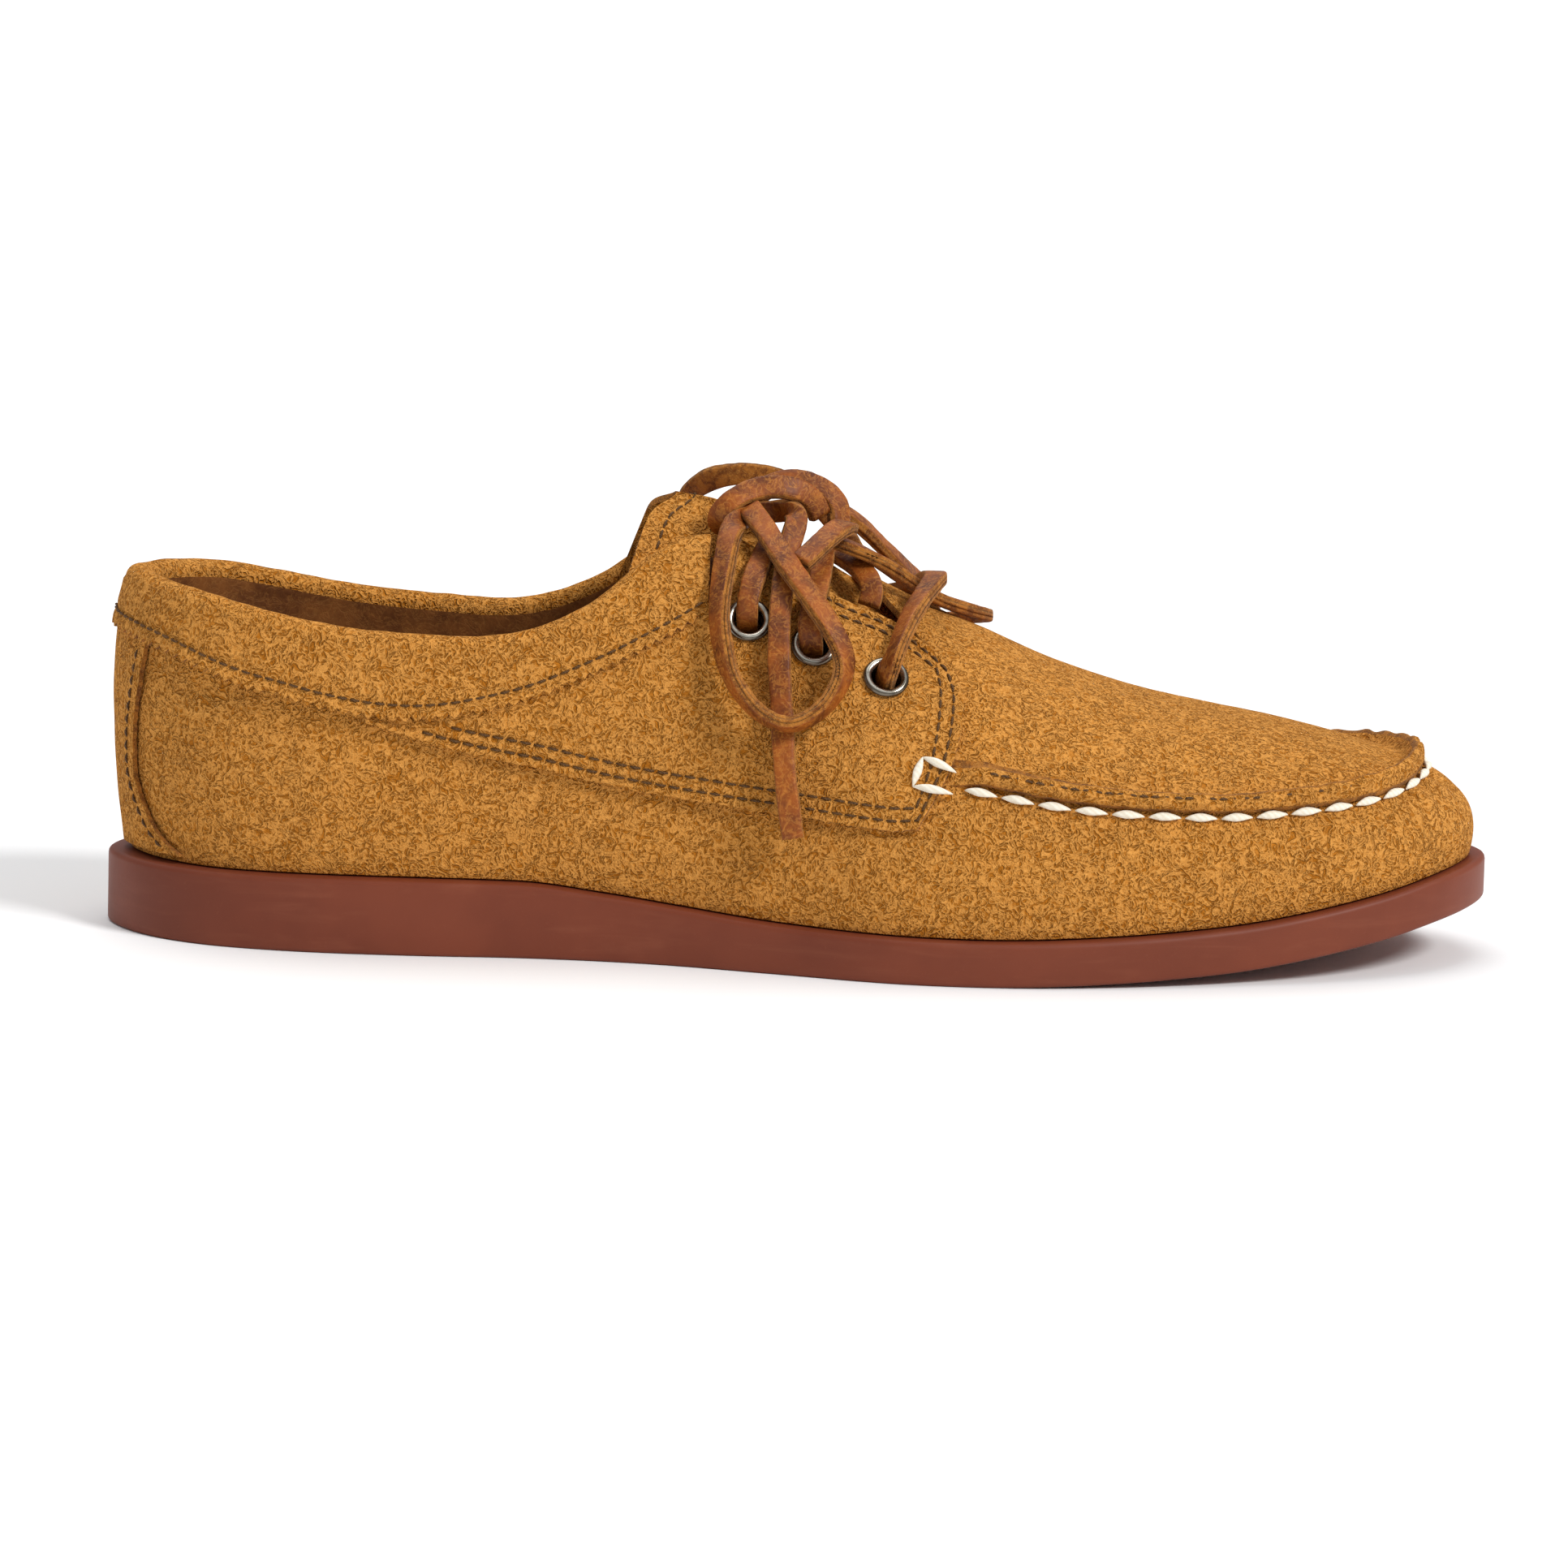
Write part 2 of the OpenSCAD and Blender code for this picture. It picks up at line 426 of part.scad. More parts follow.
// t above which the tongue is free of the quarters and the collar
TONGUE_CLEAR = [[-40, 0.62], [-32, 0.74], [-25, 0.8], [-17, 0.83], [30, 0.83]];
TONGUE_EDGE = [[0, 0.64], [0.3, 0.54], [1, 0.5]];
function tongue_point(w, v, depth) =
    let(x = mix(tongue_hinge_x, tongue_end_x - tongue_sweep * v * v, w), s = s_at(x, v > 0),
        t = 1 - abs(v) * (1 - curve(TONGUE_EDGE, w)), clear = curve(TONGUE_CLEAR, x),
        lift = pow(clamp01((t - clear) / (1 - clear)), 1.5) * mix(2.4, 4.8, w))
    skin(s, min(t, 0.985), tongue_side + lift + depth);
module tongue() {
    grid = function(depth) [for (i = [0:9]) [for (j = [0:12]) tongue_point(i / 9, j / 6 - 1, depth)]];
    color(TAN) grid_sheet(grid(0), grid(-suede_t));
}
module tongue_thread() {
    color(THREAD_BROWN)
        tube([for (j = [-6:6]) tongue_point(0.94, j / 11, thread_r + 0.12)], thread_r, 4);
}

// ---------------------------------------------------------------- eyelets

module eyelet(side, i) {
    barrel = 0.35;
    top = quarter_out;
    back = lining_in;
    color("#6e6a62") on_eyelet(side, i) rotate_extrude($fn = 48) union() {
        translate([eyelet_bore_r, back - 0.9]) square([barrel, top - back + 1.8]);
        translate([eyelet_bore_r, back - 0.9]) square([eyelet_flange_r - eyelet_bore_r - 0.6, 0.5]);
        translate([eyelet_bore_r, top + 0.35]) square([eyelet_flange_r - eyelet_bore_r - 0.4, 0.55]);
        translate([eyelet_flange_r - 0.5, top + 0.65]) circle(r = 0.45, $fn = 24);
    }
}

// ---------------------------------------------------------------- stitching

// Lengths along a path, and the point at one length
function lengths(path) =
    [for (i = 0, sum = 0; i < len(path);
        i = i + 1, sum = sum + (i < len(path) ? norm(path[i] - path[i - 1]) : 0)) sum];
function at_length(path, sums, want) =
    [for (c = [0:2]) lookup(want, [for (i = [0:len(path) - 1]) [sums[i], path[i][c]]])];
module hand_stitches() {
    path = [for (i = [-60:60]) let(s = 0.213 * i / 60) skin(s, seam_t(s) - 0.022, stitch_r + 0.3)];
    sums = lengths(path);
    count = floor(sums[len(sums) - 1] / stitch_pitch);
    color("#efe6d2") union() {
        for (i = [0:count - 1])
            rod(at_length(path, sums, i * stitch_pitch + 0.5),
                at_length(path, sums, i * stitch_pitch + 0.5 + stitch_len), stitch_r);
        corner_depth = quarter_out + 1.6;
        for (side = SIDES) {
            corner_top = skin(side_s(0.2286, side), 0.418, corner_depth);
            corner_foot = skin(side_s(0.231, side), 0.346, corner_depth);
            front_top = skin(side_s(0.2187, side), 0.403, corner_depth);
            front_foot = skin(side_s(0.2195, side), 0.35, corner_depth);
            rod(corner_top, corner_foot, stitch_r);
            rod(corner_top + 2 * unit(front_top - corner_top), front_top, stitch_r);
            rod(corner_foot + 2 * unit(front_foot - corner_foot), front_foot, stitch_r);
        }
    }
}
// Line of stitches set in from the foot, the front and the top of the quarter
function quarter_line(inset, side) =
    let(front = quarter_front + inset * s_per_mm(quarter_front, 0.4),
        low = function(s) curve(QUARTER_FOOT, s) + inset * t_per_mm(s, 0.25),
        high = function(s) curve(EYESTAY_EDGE, s) - inset * t_per_mm(s, 0.7),
        line = concat([for (s = range(0.372 - inset * 0.003, front, 14)) [s, low(s)]],
            [for (f = [1:5]) [front, mix(low(front), high(front), f / 6)]],
            [for (s = range(front, 0.272, 7)) [s, high(s)]]))
    [for (p = line) [side_s(slanted(p[0], p[1]), side), p[1]]];
module quarter_thread(side) {
    color(THREAD_BROWN) for (inset = [2.1, 4.8]) machine_thread(quarter_line(inset, side), quarter_out);
}
module collar_thread() {
    color(THREAD_BROWN) tube([for (s = collar_stations)
        let(t = collar_edge_t(s), up = 3.6 * t_per_mm(s, t)) skin(s, t + up, collar_out + thread_r + 0.15)],
        thread_r, 4);
}
module heel_stay_thread() {
    color(THREAD_BROWN) for (side = [-1, 1]) machine_thread([for (t = range(0.02, 0.32, 8))
        [0.5 + side * (curve(HEEL_STAY_HALF, t) - 2 * s_per_mm(0.5, t)), t]], quarter_out);
}
module plug_thread() {
    color(THREAD_BROWN) machine_thread([for (s = range(-0.198, 0.198, 44))
        [s, mix(seam_t(s), plug_top, PLUG_T[1])]], PLUG_OUT[1] + 0.1);
}

// ---------------------------------------------------------------- lace

module lace_crossings() {
    color(LACE_BROWN) union() {
        for (route = [LACE_FRONT_BAR, LACE_FRONT_RETURN, LACE_MIDDLE_LATERAL, LACE_REAR_LATERAL,
            LACE_REAR_MEDIAL, LACE_UNDER_ARC]) lace_strand(route, 2);
    }
}
module lace_knot() {
    color(LACE_BROWN) union() {
        for (route = [KNOT_WRAP, KNOT_OVER, KNOT_TUCK]) lace_strand(route, 2);
    }
}
module lace_bow_lateral() {
    color(LACE_BROWN) lace_strand(BOW_LATERAL, 2);
}
module lace_bow_medial() {
    color(LACE_BROWN) lace_strand(BOW_MEDIAL, 2);
}

outsole();
insole_board();
footbed();
sock_liner();
moccasin_tub();
toe_plug();
heel_stay();
heel_counter();
quarter_lining();
collar_band();
collar_foam();
tongue();
for (side = SIDES) quarter(side);
for (side = SIDES, i = [0:2]) eyelet(side, i);
for (side = SIDES) quarter_thread(side);
hand_stitches();
collar_thread();
heel_stay_thread();
plug_thread();
tongue_thread();
lace_crossings();
lace_knot();
lace_bow_lateral();
lace_bow_medial();
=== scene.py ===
"""Low camp moccasin, right foot: its looks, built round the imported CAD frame.

The hand-sewn suede upper, the padded collar, the brick rubber sole, the eyelets, every stitch and the tied rawhide
lace are rebuilt in fine detail where the CAD nodes lie. Lengths are millimetres until a mesh is made.
"""
import logging
import math
from dataclasses import dataclass, field
from enum import Enum
from typing import Any, Callable, Sequence

import bmesh
import bpy
import numpy as np
from mathutils import Matrix, Vector


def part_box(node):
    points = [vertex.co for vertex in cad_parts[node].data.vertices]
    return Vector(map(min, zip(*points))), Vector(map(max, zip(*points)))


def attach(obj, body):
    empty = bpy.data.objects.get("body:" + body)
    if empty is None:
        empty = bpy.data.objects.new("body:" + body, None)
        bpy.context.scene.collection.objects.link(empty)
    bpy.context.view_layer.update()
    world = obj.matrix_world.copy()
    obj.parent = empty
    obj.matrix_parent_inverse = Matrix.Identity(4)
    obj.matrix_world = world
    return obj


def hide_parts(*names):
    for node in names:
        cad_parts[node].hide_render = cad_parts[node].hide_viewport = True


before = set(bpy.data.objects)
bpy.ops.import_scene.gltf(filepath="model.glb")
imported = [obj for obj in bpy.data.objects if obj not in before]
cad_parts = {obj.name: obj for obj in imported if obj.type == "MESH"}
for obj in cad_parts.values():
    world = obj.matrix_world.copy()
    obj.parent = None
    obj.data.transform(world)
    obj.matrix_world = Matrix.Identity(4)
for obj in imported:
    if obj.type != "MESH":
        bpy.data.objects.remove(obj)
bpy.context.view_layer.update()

log = logging.getLogger("moccasin")

MM = 0.001
SHOE, TONGUE = "shoe", "tongue"
Points = np.ndarray
Table = Sequence[Sequence[float]]


# ---------------------------------------------------------------- shader expressions


class Shade:
    """A number in a shader: a socket and the tree it lies in. Arithmetic on it adds Math nodes."""

    def __init__(self, cloth: "NodeSheet", socket: bpy.types.NodeSocket) -> None:
        """Wraps one socket of a node sheet."""
        self.cloth, self.socket = cloth, socket

    def math(self, operation: str, *others: "Shade | float", swap: bool = False) -> "Shade":
        """Joins this number to others by one Math node.

        Args:
            operation: The Math node's operation.
            others: The other numbers.
            swap: Puts this number second.

        Returns:
            The result.
        """
        terms = [self, *others]
        if swap:
            terms[0], terms[1] = terms[1], terms[0]
        node = self.cloth.add("ShaderNodeMath", {"operation": operation}, dict(enumerate(terms)))
        return Shade(self.cloth, node.outputs[0])

    def __add__(self, other: "Shade | float") -> "Shade":
        """Sum."""
        return self.math("ADD", other)

    def __sub__(self, other: "Shade | float") -> "Shade":
        """Difference."""
        return self.math("SUBTRACT", other)

    def __rsub__(self, other: "Shade | float") -> "Shade":
        """Difference from a plain number."""
        return self.math("SUBTRACT", other, swap=True)

    def __mul__(self, other: "Shade | float") -> "Shade":
        """Product."""
        return self.math("MULTIPLY", other)

    __radd__, __rmul__ = __add__, __mul__

    def ridge(self) -> "Shade":
        """1 where the number is one half, falling to 0 on either side."""
        return 1 - (self * 2 - 1).math("ABSOLUTE")

    def band(self, low: float, high: float) -> "Shade":
        """0 below low, 1 above high and smooth between."""
        node = self.cloth.add("ShaderNodeMapRange", {"interpolation_type": "SMOOTHSTEP"},
                              {"Value": self, "From Min": low, "From Max": high})
        return Shade(self.cloth, node.outputs[0])


Colour = tuple[float, float, float]


class NodeSheet:
    """The node tree of one material, with its Principled shader."""

    def __init__(self, name: str) -> None:
        """Makes the material and clears its tree."""
        self.material = bpy.data.materials.new(name)
        self.material.use_nodes = True
        self.tree = self.material.node_tree
        self.tree.nodes.clear()
        self.shader = self.add("ShaderNodeBsdfPrincipled")
        out = self.add("ShaderNodeOutputMaterial")
        self.tree.links.new(self.shader.outputs[0], out.inputs["Surface"])
        self.place = self.add("ShaderNodeTexCoord").outputs["Object"]

    def add(self, kind: str, settings: dict[str, Any] | None = None,
            inputs: dict[str | int, Any] | None = None) -> bpy.types.Node:
        """Adds a node.

        Args:
            kind: The node's type.
            settings: Its own settings, set first.
            inputs: Values or links of its sockets, by name or number.

        Returns:
            The node.
        """
        node = self.tree.nodes.new(kind)
        for key, value in (settings or {}).items():
            setattr(node, key, value)
        for key, value in (inputs or {}).items():
            self.plug(node.inputs[key], value)
        return node

    def plug(self, socket: bpy.types.NodeSocket, value: Any) -> None:
        """Links a socket to a Shade or to another socket, or sets its value. A colour gets its alpha.

        Args:
            socket: The socket of a node.
            value: What goes into it.
        """
        if isinstance(value, Shade):
            value = value.socket
        if isinstance(value, bpy.types.NodeSocket):
            self.tree.links.new(value, socket)
        else:
            colour = isinstance(value, tuple) and socket.type == "RGBA"
            socket.default_value = (*value, 1) if colour else value

    def stretched(self, scale: Colour) -> bpy.types.NodeSocket:
        """The place on the piece, with each axis scaled."""
        return self.add("ShaderNodeMapping", None, {"Vector": self.place, "Scale": scale}).outputs[0]

    def noise(self, grain_mm: float, detail: float = 3, roughness: float = 0.55, distortion: float = 0,
              place: bpy.types.NodeSocket | None = None) -> Shade:
        """Cloudy noise whose blotches are grain_mm across."""
        node = self.add("ShaderNodeTexNoise", None, {
            "Vector": place or self.place, "Scale": 1 / (grain_mm * MM), "Detail": detail,
            "Roughness": roughness, "Distortion": distortion})
        return Shade(self, node.outputs[0])

    def cells(self, grain_mm: float) -> Shade:
        """Distance to the middle of cells grain_mm across."""
        node = self.add("ShaderNodeTexVoronoi", None, {"Vector": self.place, "Scale": 1 / (grain_mm * MM)})
        return Shade(self, node.outputs["Distance"])

    def mix(self, share: Shade | float, a: Any, b: Any) -> bpy.types.NodeSocket:
        """Colour a where share is 0 and b where it is 1."""
        node = self.add("ShaderNodeMix", {"data_type": "RGBA"}, {0: share, 6: a, 7: b})
        return node.outputs[2]

    def bump(self, height: Shade, depth_mm: float, strength: float = 1.0) -> bpy.types.NodeSocket:
        """Normal of a surface with that relief."""
        node = self.add("ShaderNodeBump", None,
                        {"Height": height, "Distance": depth_mm * MM, "Strength": strength})
        return node.outputs[0]

    def finish(self, **sockets: Any) -> bpy.types.Material:
        """Sets the shader's sockets, named with underscores for spaces, and returns the material."""
        for key, value in sockets.items():
            self.plug(self.shader.inputs[key.replace("_", " ")], value)
        return self.material


# ---------------------------------------------------------------- finishes


@dataclass(frozen=True)
class Suede:
    """Napped suede: short tangled fibres over soft blotches, with painted highlights on the raised fibres and
    painted shade in the dips between them.
    """

    name: str = "tan_suede"
    # deep is the dark tone of the blotches and also the painted shade between the fibres; light is the painted
    # highlight colour of the raised fibres and nap.
    deep: Colour = (0.21, 0.062, 0.005)
    base: Colour = (0.50, 0.168, 0.013)
    light: Colour = (0.92, 0.46, 0.12)

    def make(self) -> bpy.types.Material:
        """Builds the material."""
        sheet = NodeSheet(self.name)
        worms = sheet.noise(2.3, 1, 0.5, 2.6).ridge()
        nap = sheet.noise(0.9, 2, 0.6, 1.2)
        blotch = sheet.noise(14, 3, 0.6)
        brushed = sheet.noise(5, 2, 0.6, 0.6)
        tone = sheet.mix(blotch.band(0.3, 0.7) * 0.22 + brushed.band(0.3, 0.75) * 0.2, self.base, self.deep)
        # painted shade: darker away from the crests of the fibre strokes, where their relief dips
        tone = sheet.mix((1 - worms.band(0.2, 0.6)) * 0.3, tone, self.deep)
        # painted highlights on the crests of the fibre strokes and on the high points of the nap
        tone = sheet.mix(worms.band(0.66, 0.97) * 0.46 + nap.band(0.5, 0.8) * 0.26, tone, self.light)
        # painted shade in the low points of the nap
        tone = sheet.mix((1 - nap.band(0.28, 0.48)) * 0.36, tone, self.deep)
        relief = worms.band(0.35, 1.0) + nap * 0.7 + brushed * 0.4
        return sheet.finish(Base_Color=tone, Roughness=0.95, Normal=sheet.bump(relief, 0.75, 1.0),
                            Sheen_Weight=0.05, Sheen_Roughness=0.45, Sheen_Tint=(1.0, 0.7, 0.3),
                            Specular_IOR_Level=0.08)


@dataclass(frozen=True)
class Rubber:
    """Brick rubber, satin, with faint mould marks and dust in its pores."""

    name: str = "brick_rubber"
    deep: Colour = (0.135, 0.027, 0.011)
    base: Colour = (0.195, 0.042, 0.017)
    dusty: Colour = (0.27, 0.078, 0.038)

    def make(self) -> bpy.types.Material:
        """Builds the material."""
        sheet = NodeSheet(self.name)
        cloud = sheet.noise(30, 3, 0.6)
        streak = sheet.noise(6, 3, 0.6, 0.4, sheet.stretched((0.25, 0.25, 1.6)))
        pores = sheet.noise(0.7, 2, 0.6)
        tone = sheet.mix(cloud.band(0.3, 0.7) * 0.6, self.base, self.deep)
        tone = sheet.mix(streak.band(0.5, 0.8) * 0.28 + pores.band(0.6, 0.8) * 0.15, tone, self.dusty)
        relief = pores * 0.5 + streak * 0.6
        return sheet.finish(Base_Color=tone, Roughness=0.44 + cloud * 0.12,
                            Normal=sheet.bump(relief, 0.06, 0.6), Specular_IOR_Level=0.28)


@dataclass(frozen=True)
class GrainLeather:
    """Smooth leather with a fine pebbled grain and creases."""

    name: str
    deep: Colour
    base: Colour
    light: Colour
    gloss: float = 0.5
    pebble_mm: float = 0.9

    def make(self) -> bpy.types.Material:
        """Builds the material."""
        sheet = NodeSheet(self.name)
        cloud = sheet.noise(7, 3, 0.6, 0.3)
        pebble = sheet.cells(self.pebble_mm)
        crease = sheet.noise(3, 3, 0.6, 1.2).ridge().band(0.9, 1.0)
        tone = sheet.mix(cloud.band(0.3, 0.72), self.deep, self.base)
        tone = sheet.mix(crease * 0.35 + pebble.band(0.45, 0.8) * 0.12, tone, self.light)
        relief = pebble * -0.35 + cloud * 0.6 + crease * -0.25
        return sheet.finish(Base_Color=tone, Roughness=self.gloss + cloud * 0.18,
                            Normal=sheet.bump(relief, 0.16, 0.6), Specular_IOR_Level=0.3)


@dataclass(frozen=True)
class CutHide:
    """The cut side of rawhide: fuzzy fibres that run along and out of the cut."""

    name: str = "rawhide_cut"
    deep: Colour = (0.16, 0.042, 0.007)
    base: Colour = (0.46, 0.165, 0.024)
    light: Colour = (0.72, 0.33, 0.07)

    def make(self) -> bpy.types.Material:
        """Builds the material."""
        sheet = NodeSheet(self.name)
        fibre = sheet.noise(0.5, 3, 0.65, 1.4)
        clump = sheet.noise(2.4, 3, 0.6, 0.8)
        tone = sheet.mix(clump.band(0.34, 0.66), self.deep, self.base)
        tone = sheet.mix(fibre.band(0.46, 0.74) * 0.6, tone, self.light)
        return sheet.finish(Base_Color=tone, Roughness=0.92,
                            Normal=sheet.bump(fibre + clump * 0.6, 0.35, 0.9),
                            Sheen_Weight=0.2, Sheen_Roughness=0.5, Sheen_Tint=(1.0, 0.7, 0.4),
                            Specular_IOR_Level=0.2)


@dataclass(frozen=True)
class Nickel:
    """Antique nickel: pale where it is rubbed, brown-grey in the hollows."""

    name: str = "antique_nickel"
    dark: Colour = (0.16, 0.135, 0.10)
    bright: Colour = (0.60, 0.56, 0.48)

    def make(self) -> bpy.types.Material:
        """Builds the material."""
        sheet = NodeSheet(self.name)
        tarnish = sheet.noise(4, 2, 0.5, 0.5)
        scuff = sheet.noise(0.6, 2, 0.6)
        tone = sheet.mix(tarnish.band(0.25, 0.6), self.dark, self.bright)
        return sheet.finish(Base_Color=tone, Metallic=0.96, Roughness=0.16 + tarnish * 0.2,
                            Normal=sheet.bump(scuff + tarnish, 0.015, 0.4))


@dataclass(frozen=True)
class Thread:
    """Twisted, waxed sewing thread."""

    name: str
    shade: Colour
    base: Colour
    ply_mm: float = 0.35
    sheen: float = 0.0
    relief_mm: float = 0.12

    def make(self) -> bpy.types.Material:
        """Builds the material."""
        sheet = NodeSheet(self.name)
        ply = sheet.add("ShaderNodeTexWave", {"wave_type": "BANDS", "bands_direction": "DIAGONAL"},
                        {"Vector": sheet.place, "Scale": 0.32 / (self.ply_mm * MM), "Distortion": 1.2,
                         "Detail": 1.0})
        twist = Shade(sheet, ply.outputs["Fac"])
        lint = sheet.noise(0.3, 2, 0.6)
        tone = sheet.mix(twist * 0.6 + lint.band(0.3, 0.8) * 0.4, self.shade, self.base)
        return sheet.finish(Base_Color=tone, Roughness=0.62,
                            Normal=sheet.bump(twist + lint * 0.6, self.relief_mm, 0.7),
                            Sheen_Weight=self.sheen, Sheen_Roughness=0.5, Specular_IOR_Level=0.3)


@dataclass(frozen=True)
class Board:
    """Pressed board or foam: a speckled, matt, dry material."""

    name: str
    speck: Colour
    base: Colour
    grain_mm: float = 0.8

    def make(self) -> bpy.types.Material:
        """Builds the material."""
        sheet = NodeSheet(self.name)
        speck = sheet.cells(self.grain_mm)
        fibre = sheet.noise(self.grain_mm * 3, 3, 0.65, 0.8)
        tone = sheet.mix(speck.band(0.2, 0.7) * 0.5 + fibre.band(0.35, 0.7) * 0.5, self.speck, self.base)
        return sheet.finish(Base_Color=tone, Roughness=0.9, Normal=sheet.bump(speck + fibre, 0.15, 0.6))


@dataclass(frozen=True)
class StudioFloor:
    """Matt white floor paper."""

    name: str = "floor_paper"
    base: Colour = (0.95, 0.95, 0.952)

    def make(self) -> bpy.types.Material:
        """Builds the material."""
        sheet = NodeSheet(self.name)
        tone = sheet.mix(sheet.noise(60, 2, 0.5) * 0.2, self.base, (0.94, 0.94, 0.942))
        return sheet.finish(Base_Color=tone, Roughness=0.9, Specular_IOR_Level=0.1)


class Wardrobe:
    """Every finish of the moccasin, made once."""

    def __init__(self) -> None:
        """Makes the materials."""
        self.suede = Suede().make()
        # raw is the finish of the cut edges; on the plug it also darkens the band on the rim's upper flank, partly
        # as painted shade.
        self.raw = CutHide("suede_raw_edge", (0.15, 0.045, 0.006), (0.40, 0.14, 0.016), (0.72, 0.34, 0.07)).make()
        self.rubber = Rubber().make()
        self.lining = GrainLeather("lining_leather", (0.12, 0.036, 0.007), (0.25, 0.085, 0.016),
                                   (0.36, 0.15, 0.035), 0.55).make()
        self.hide = GrainLeather("rawhide_grain", (0.10, 0.020, 0.002), (0.33, 0.080, 0.006),
                                 (0.62, 0.24, 0.035), 0.42, 0.6).make()
        self.hide_cut = CutHide().make()
        self.nickel = Nickel().make()
        self.nickel_dark = Nickel("dark_nickel", (0.05, 0.042, 0.03), (0.19, 0.165, 0.13)).make()
        self.brown_thread = Thread("brown_thread", (0.05, 0.022, 0.006), (0.17, 0.075, 0.018)).make()
        self.cream_thread = Thread("cream_thread", (0.80, 0.71, 0.55), (0.95, 0.90, 0.78), 0.9, 0.1, 0.03).make()
        self.board = Board("insole_board", (0.26, 0.17, 0.09), (0.42, 0.31, 0.19), 1.2).make()
        self.foam = Board("footbed_foam", (0.40, 0.31, 0.18), (0.60, 0.49, 0.32)).make()
        self.counter = Board("counter_board", (0.36, 0.30, 0.21), (0.58, 0.51, 0.38), 1.0).make()
        self.padding = Board("collar_foam", (0.62, 0.54, 0.34), (0.78, 0.70, 0.48), 0.6).make()


# ---------------------------------------------------------------- curves and the last


def smooth_curve(table: Table, x: Any) -> np.ndarray:
    """Height at x of the smooth curve through a table of (x, y) points, held level past its ends.

    Args:
        table: The points, in order of x.
        x: Where it is read.

    Returns:
        The heights.
    """
    xs, ys = np.array(table, float).T
    index = np.arange(len(xs))
    low, high = np.maximum(index - 1, 0), np.minimum(index + 1, len(xs) - 1)
    slope = (ys[high] - ys[low]) / (xs[high] - xs[low])
    x = np.clip(x, xs[0], xs[-1])
    i = np.clip(np.searchsorted(xs, x, "right") - 1, 0, len(xs) - 2)
    h = xs[i + 1] - xs[i]
    f = (x - xs[i]) / h
    g = 1 - f
    return ((1 + 2 * f) * g * g * ys[i] + f * g * g * h * slope[i]
            + f * f * (3 - 2 * f) * ys[i + 1] - f * f * g * h * slope[i + 1])


def spline(points: Points, q: np.ndarray, closed: bool) -> Points:
    """Points of the Catmull-Rom curve through a list of points.

    Args:
        points: The points it passes through.
        q: Where it is read, counted in points.
        closed: True if it runs on from the last point to the first.

    Returns:
        One point for each q.
    """
    n = len(points)
    i = np.floor(q).astype(int)
    i = i if closed else np.clip(i, 0, n - 2)
    f = (q - i)[..., None]
    a, b, c, d = (points[(i + k) % n] if closed else points[np.clip(i + k, 0, n - 1)] for k in (-1, 0, 1, 2))
    return 0.5 * (2 * b + (c - a) * f + (2 * a - 5 * b + 4 * c - d) * f ** 2 + (3 * b - a - 3 * c + d) * f ** 3)


def unit(v: Points) -> Points:
    """Vectors of length one."""
    return v / np.linalg.norm(v, axis=-1, keepdims=True)


def bezier(t: np.ndarray, a: Any, b: Any, c: Any, d: Any) -> np.ndarray:
    """Cubic Bezier curve through four heights."""
    u = 1 - t
    return u * u * u * a + 3 * u * u * t * b + 3 * u * t * t * c + t * t * t * d


def folded(s: np.ndarray) -> np.ndarray:
    """Station on the lateral side that mirrors s."""
    w = s - np.floor(s)
    return np.where(w > 0.5, 1 - w, w)


def clamp01(f: Any) -> np.ndarray:
    """f kept between 0 and 1."""
    return np.clip(f, 0, 1)


def blend(a: Any, b: Any, f: Any) -> Any:
    """a where f is 0 and b where it is 1."""
    return a * (1 - f) + b * f


def ease(f: Any) -> Any:
    """f from 0 to 1, made to start and end level."""
    return f * f * (3 - 2 * f)


def hump(x: Any, middle: Any, width: float) -> Any:
    """1 where x is at the middle, falling smoothly to almost 0 two widths away."""
    return np.exp(-((x - middle) / width) ** 2)


def arc_lengths(path: Points) -> np.ndarray:
    """Length along a path at each of its points."""
    return np.concatenate([[0], np.cumsum(np.linalg.norm(np.diff(path, axis=0), axis=1))])


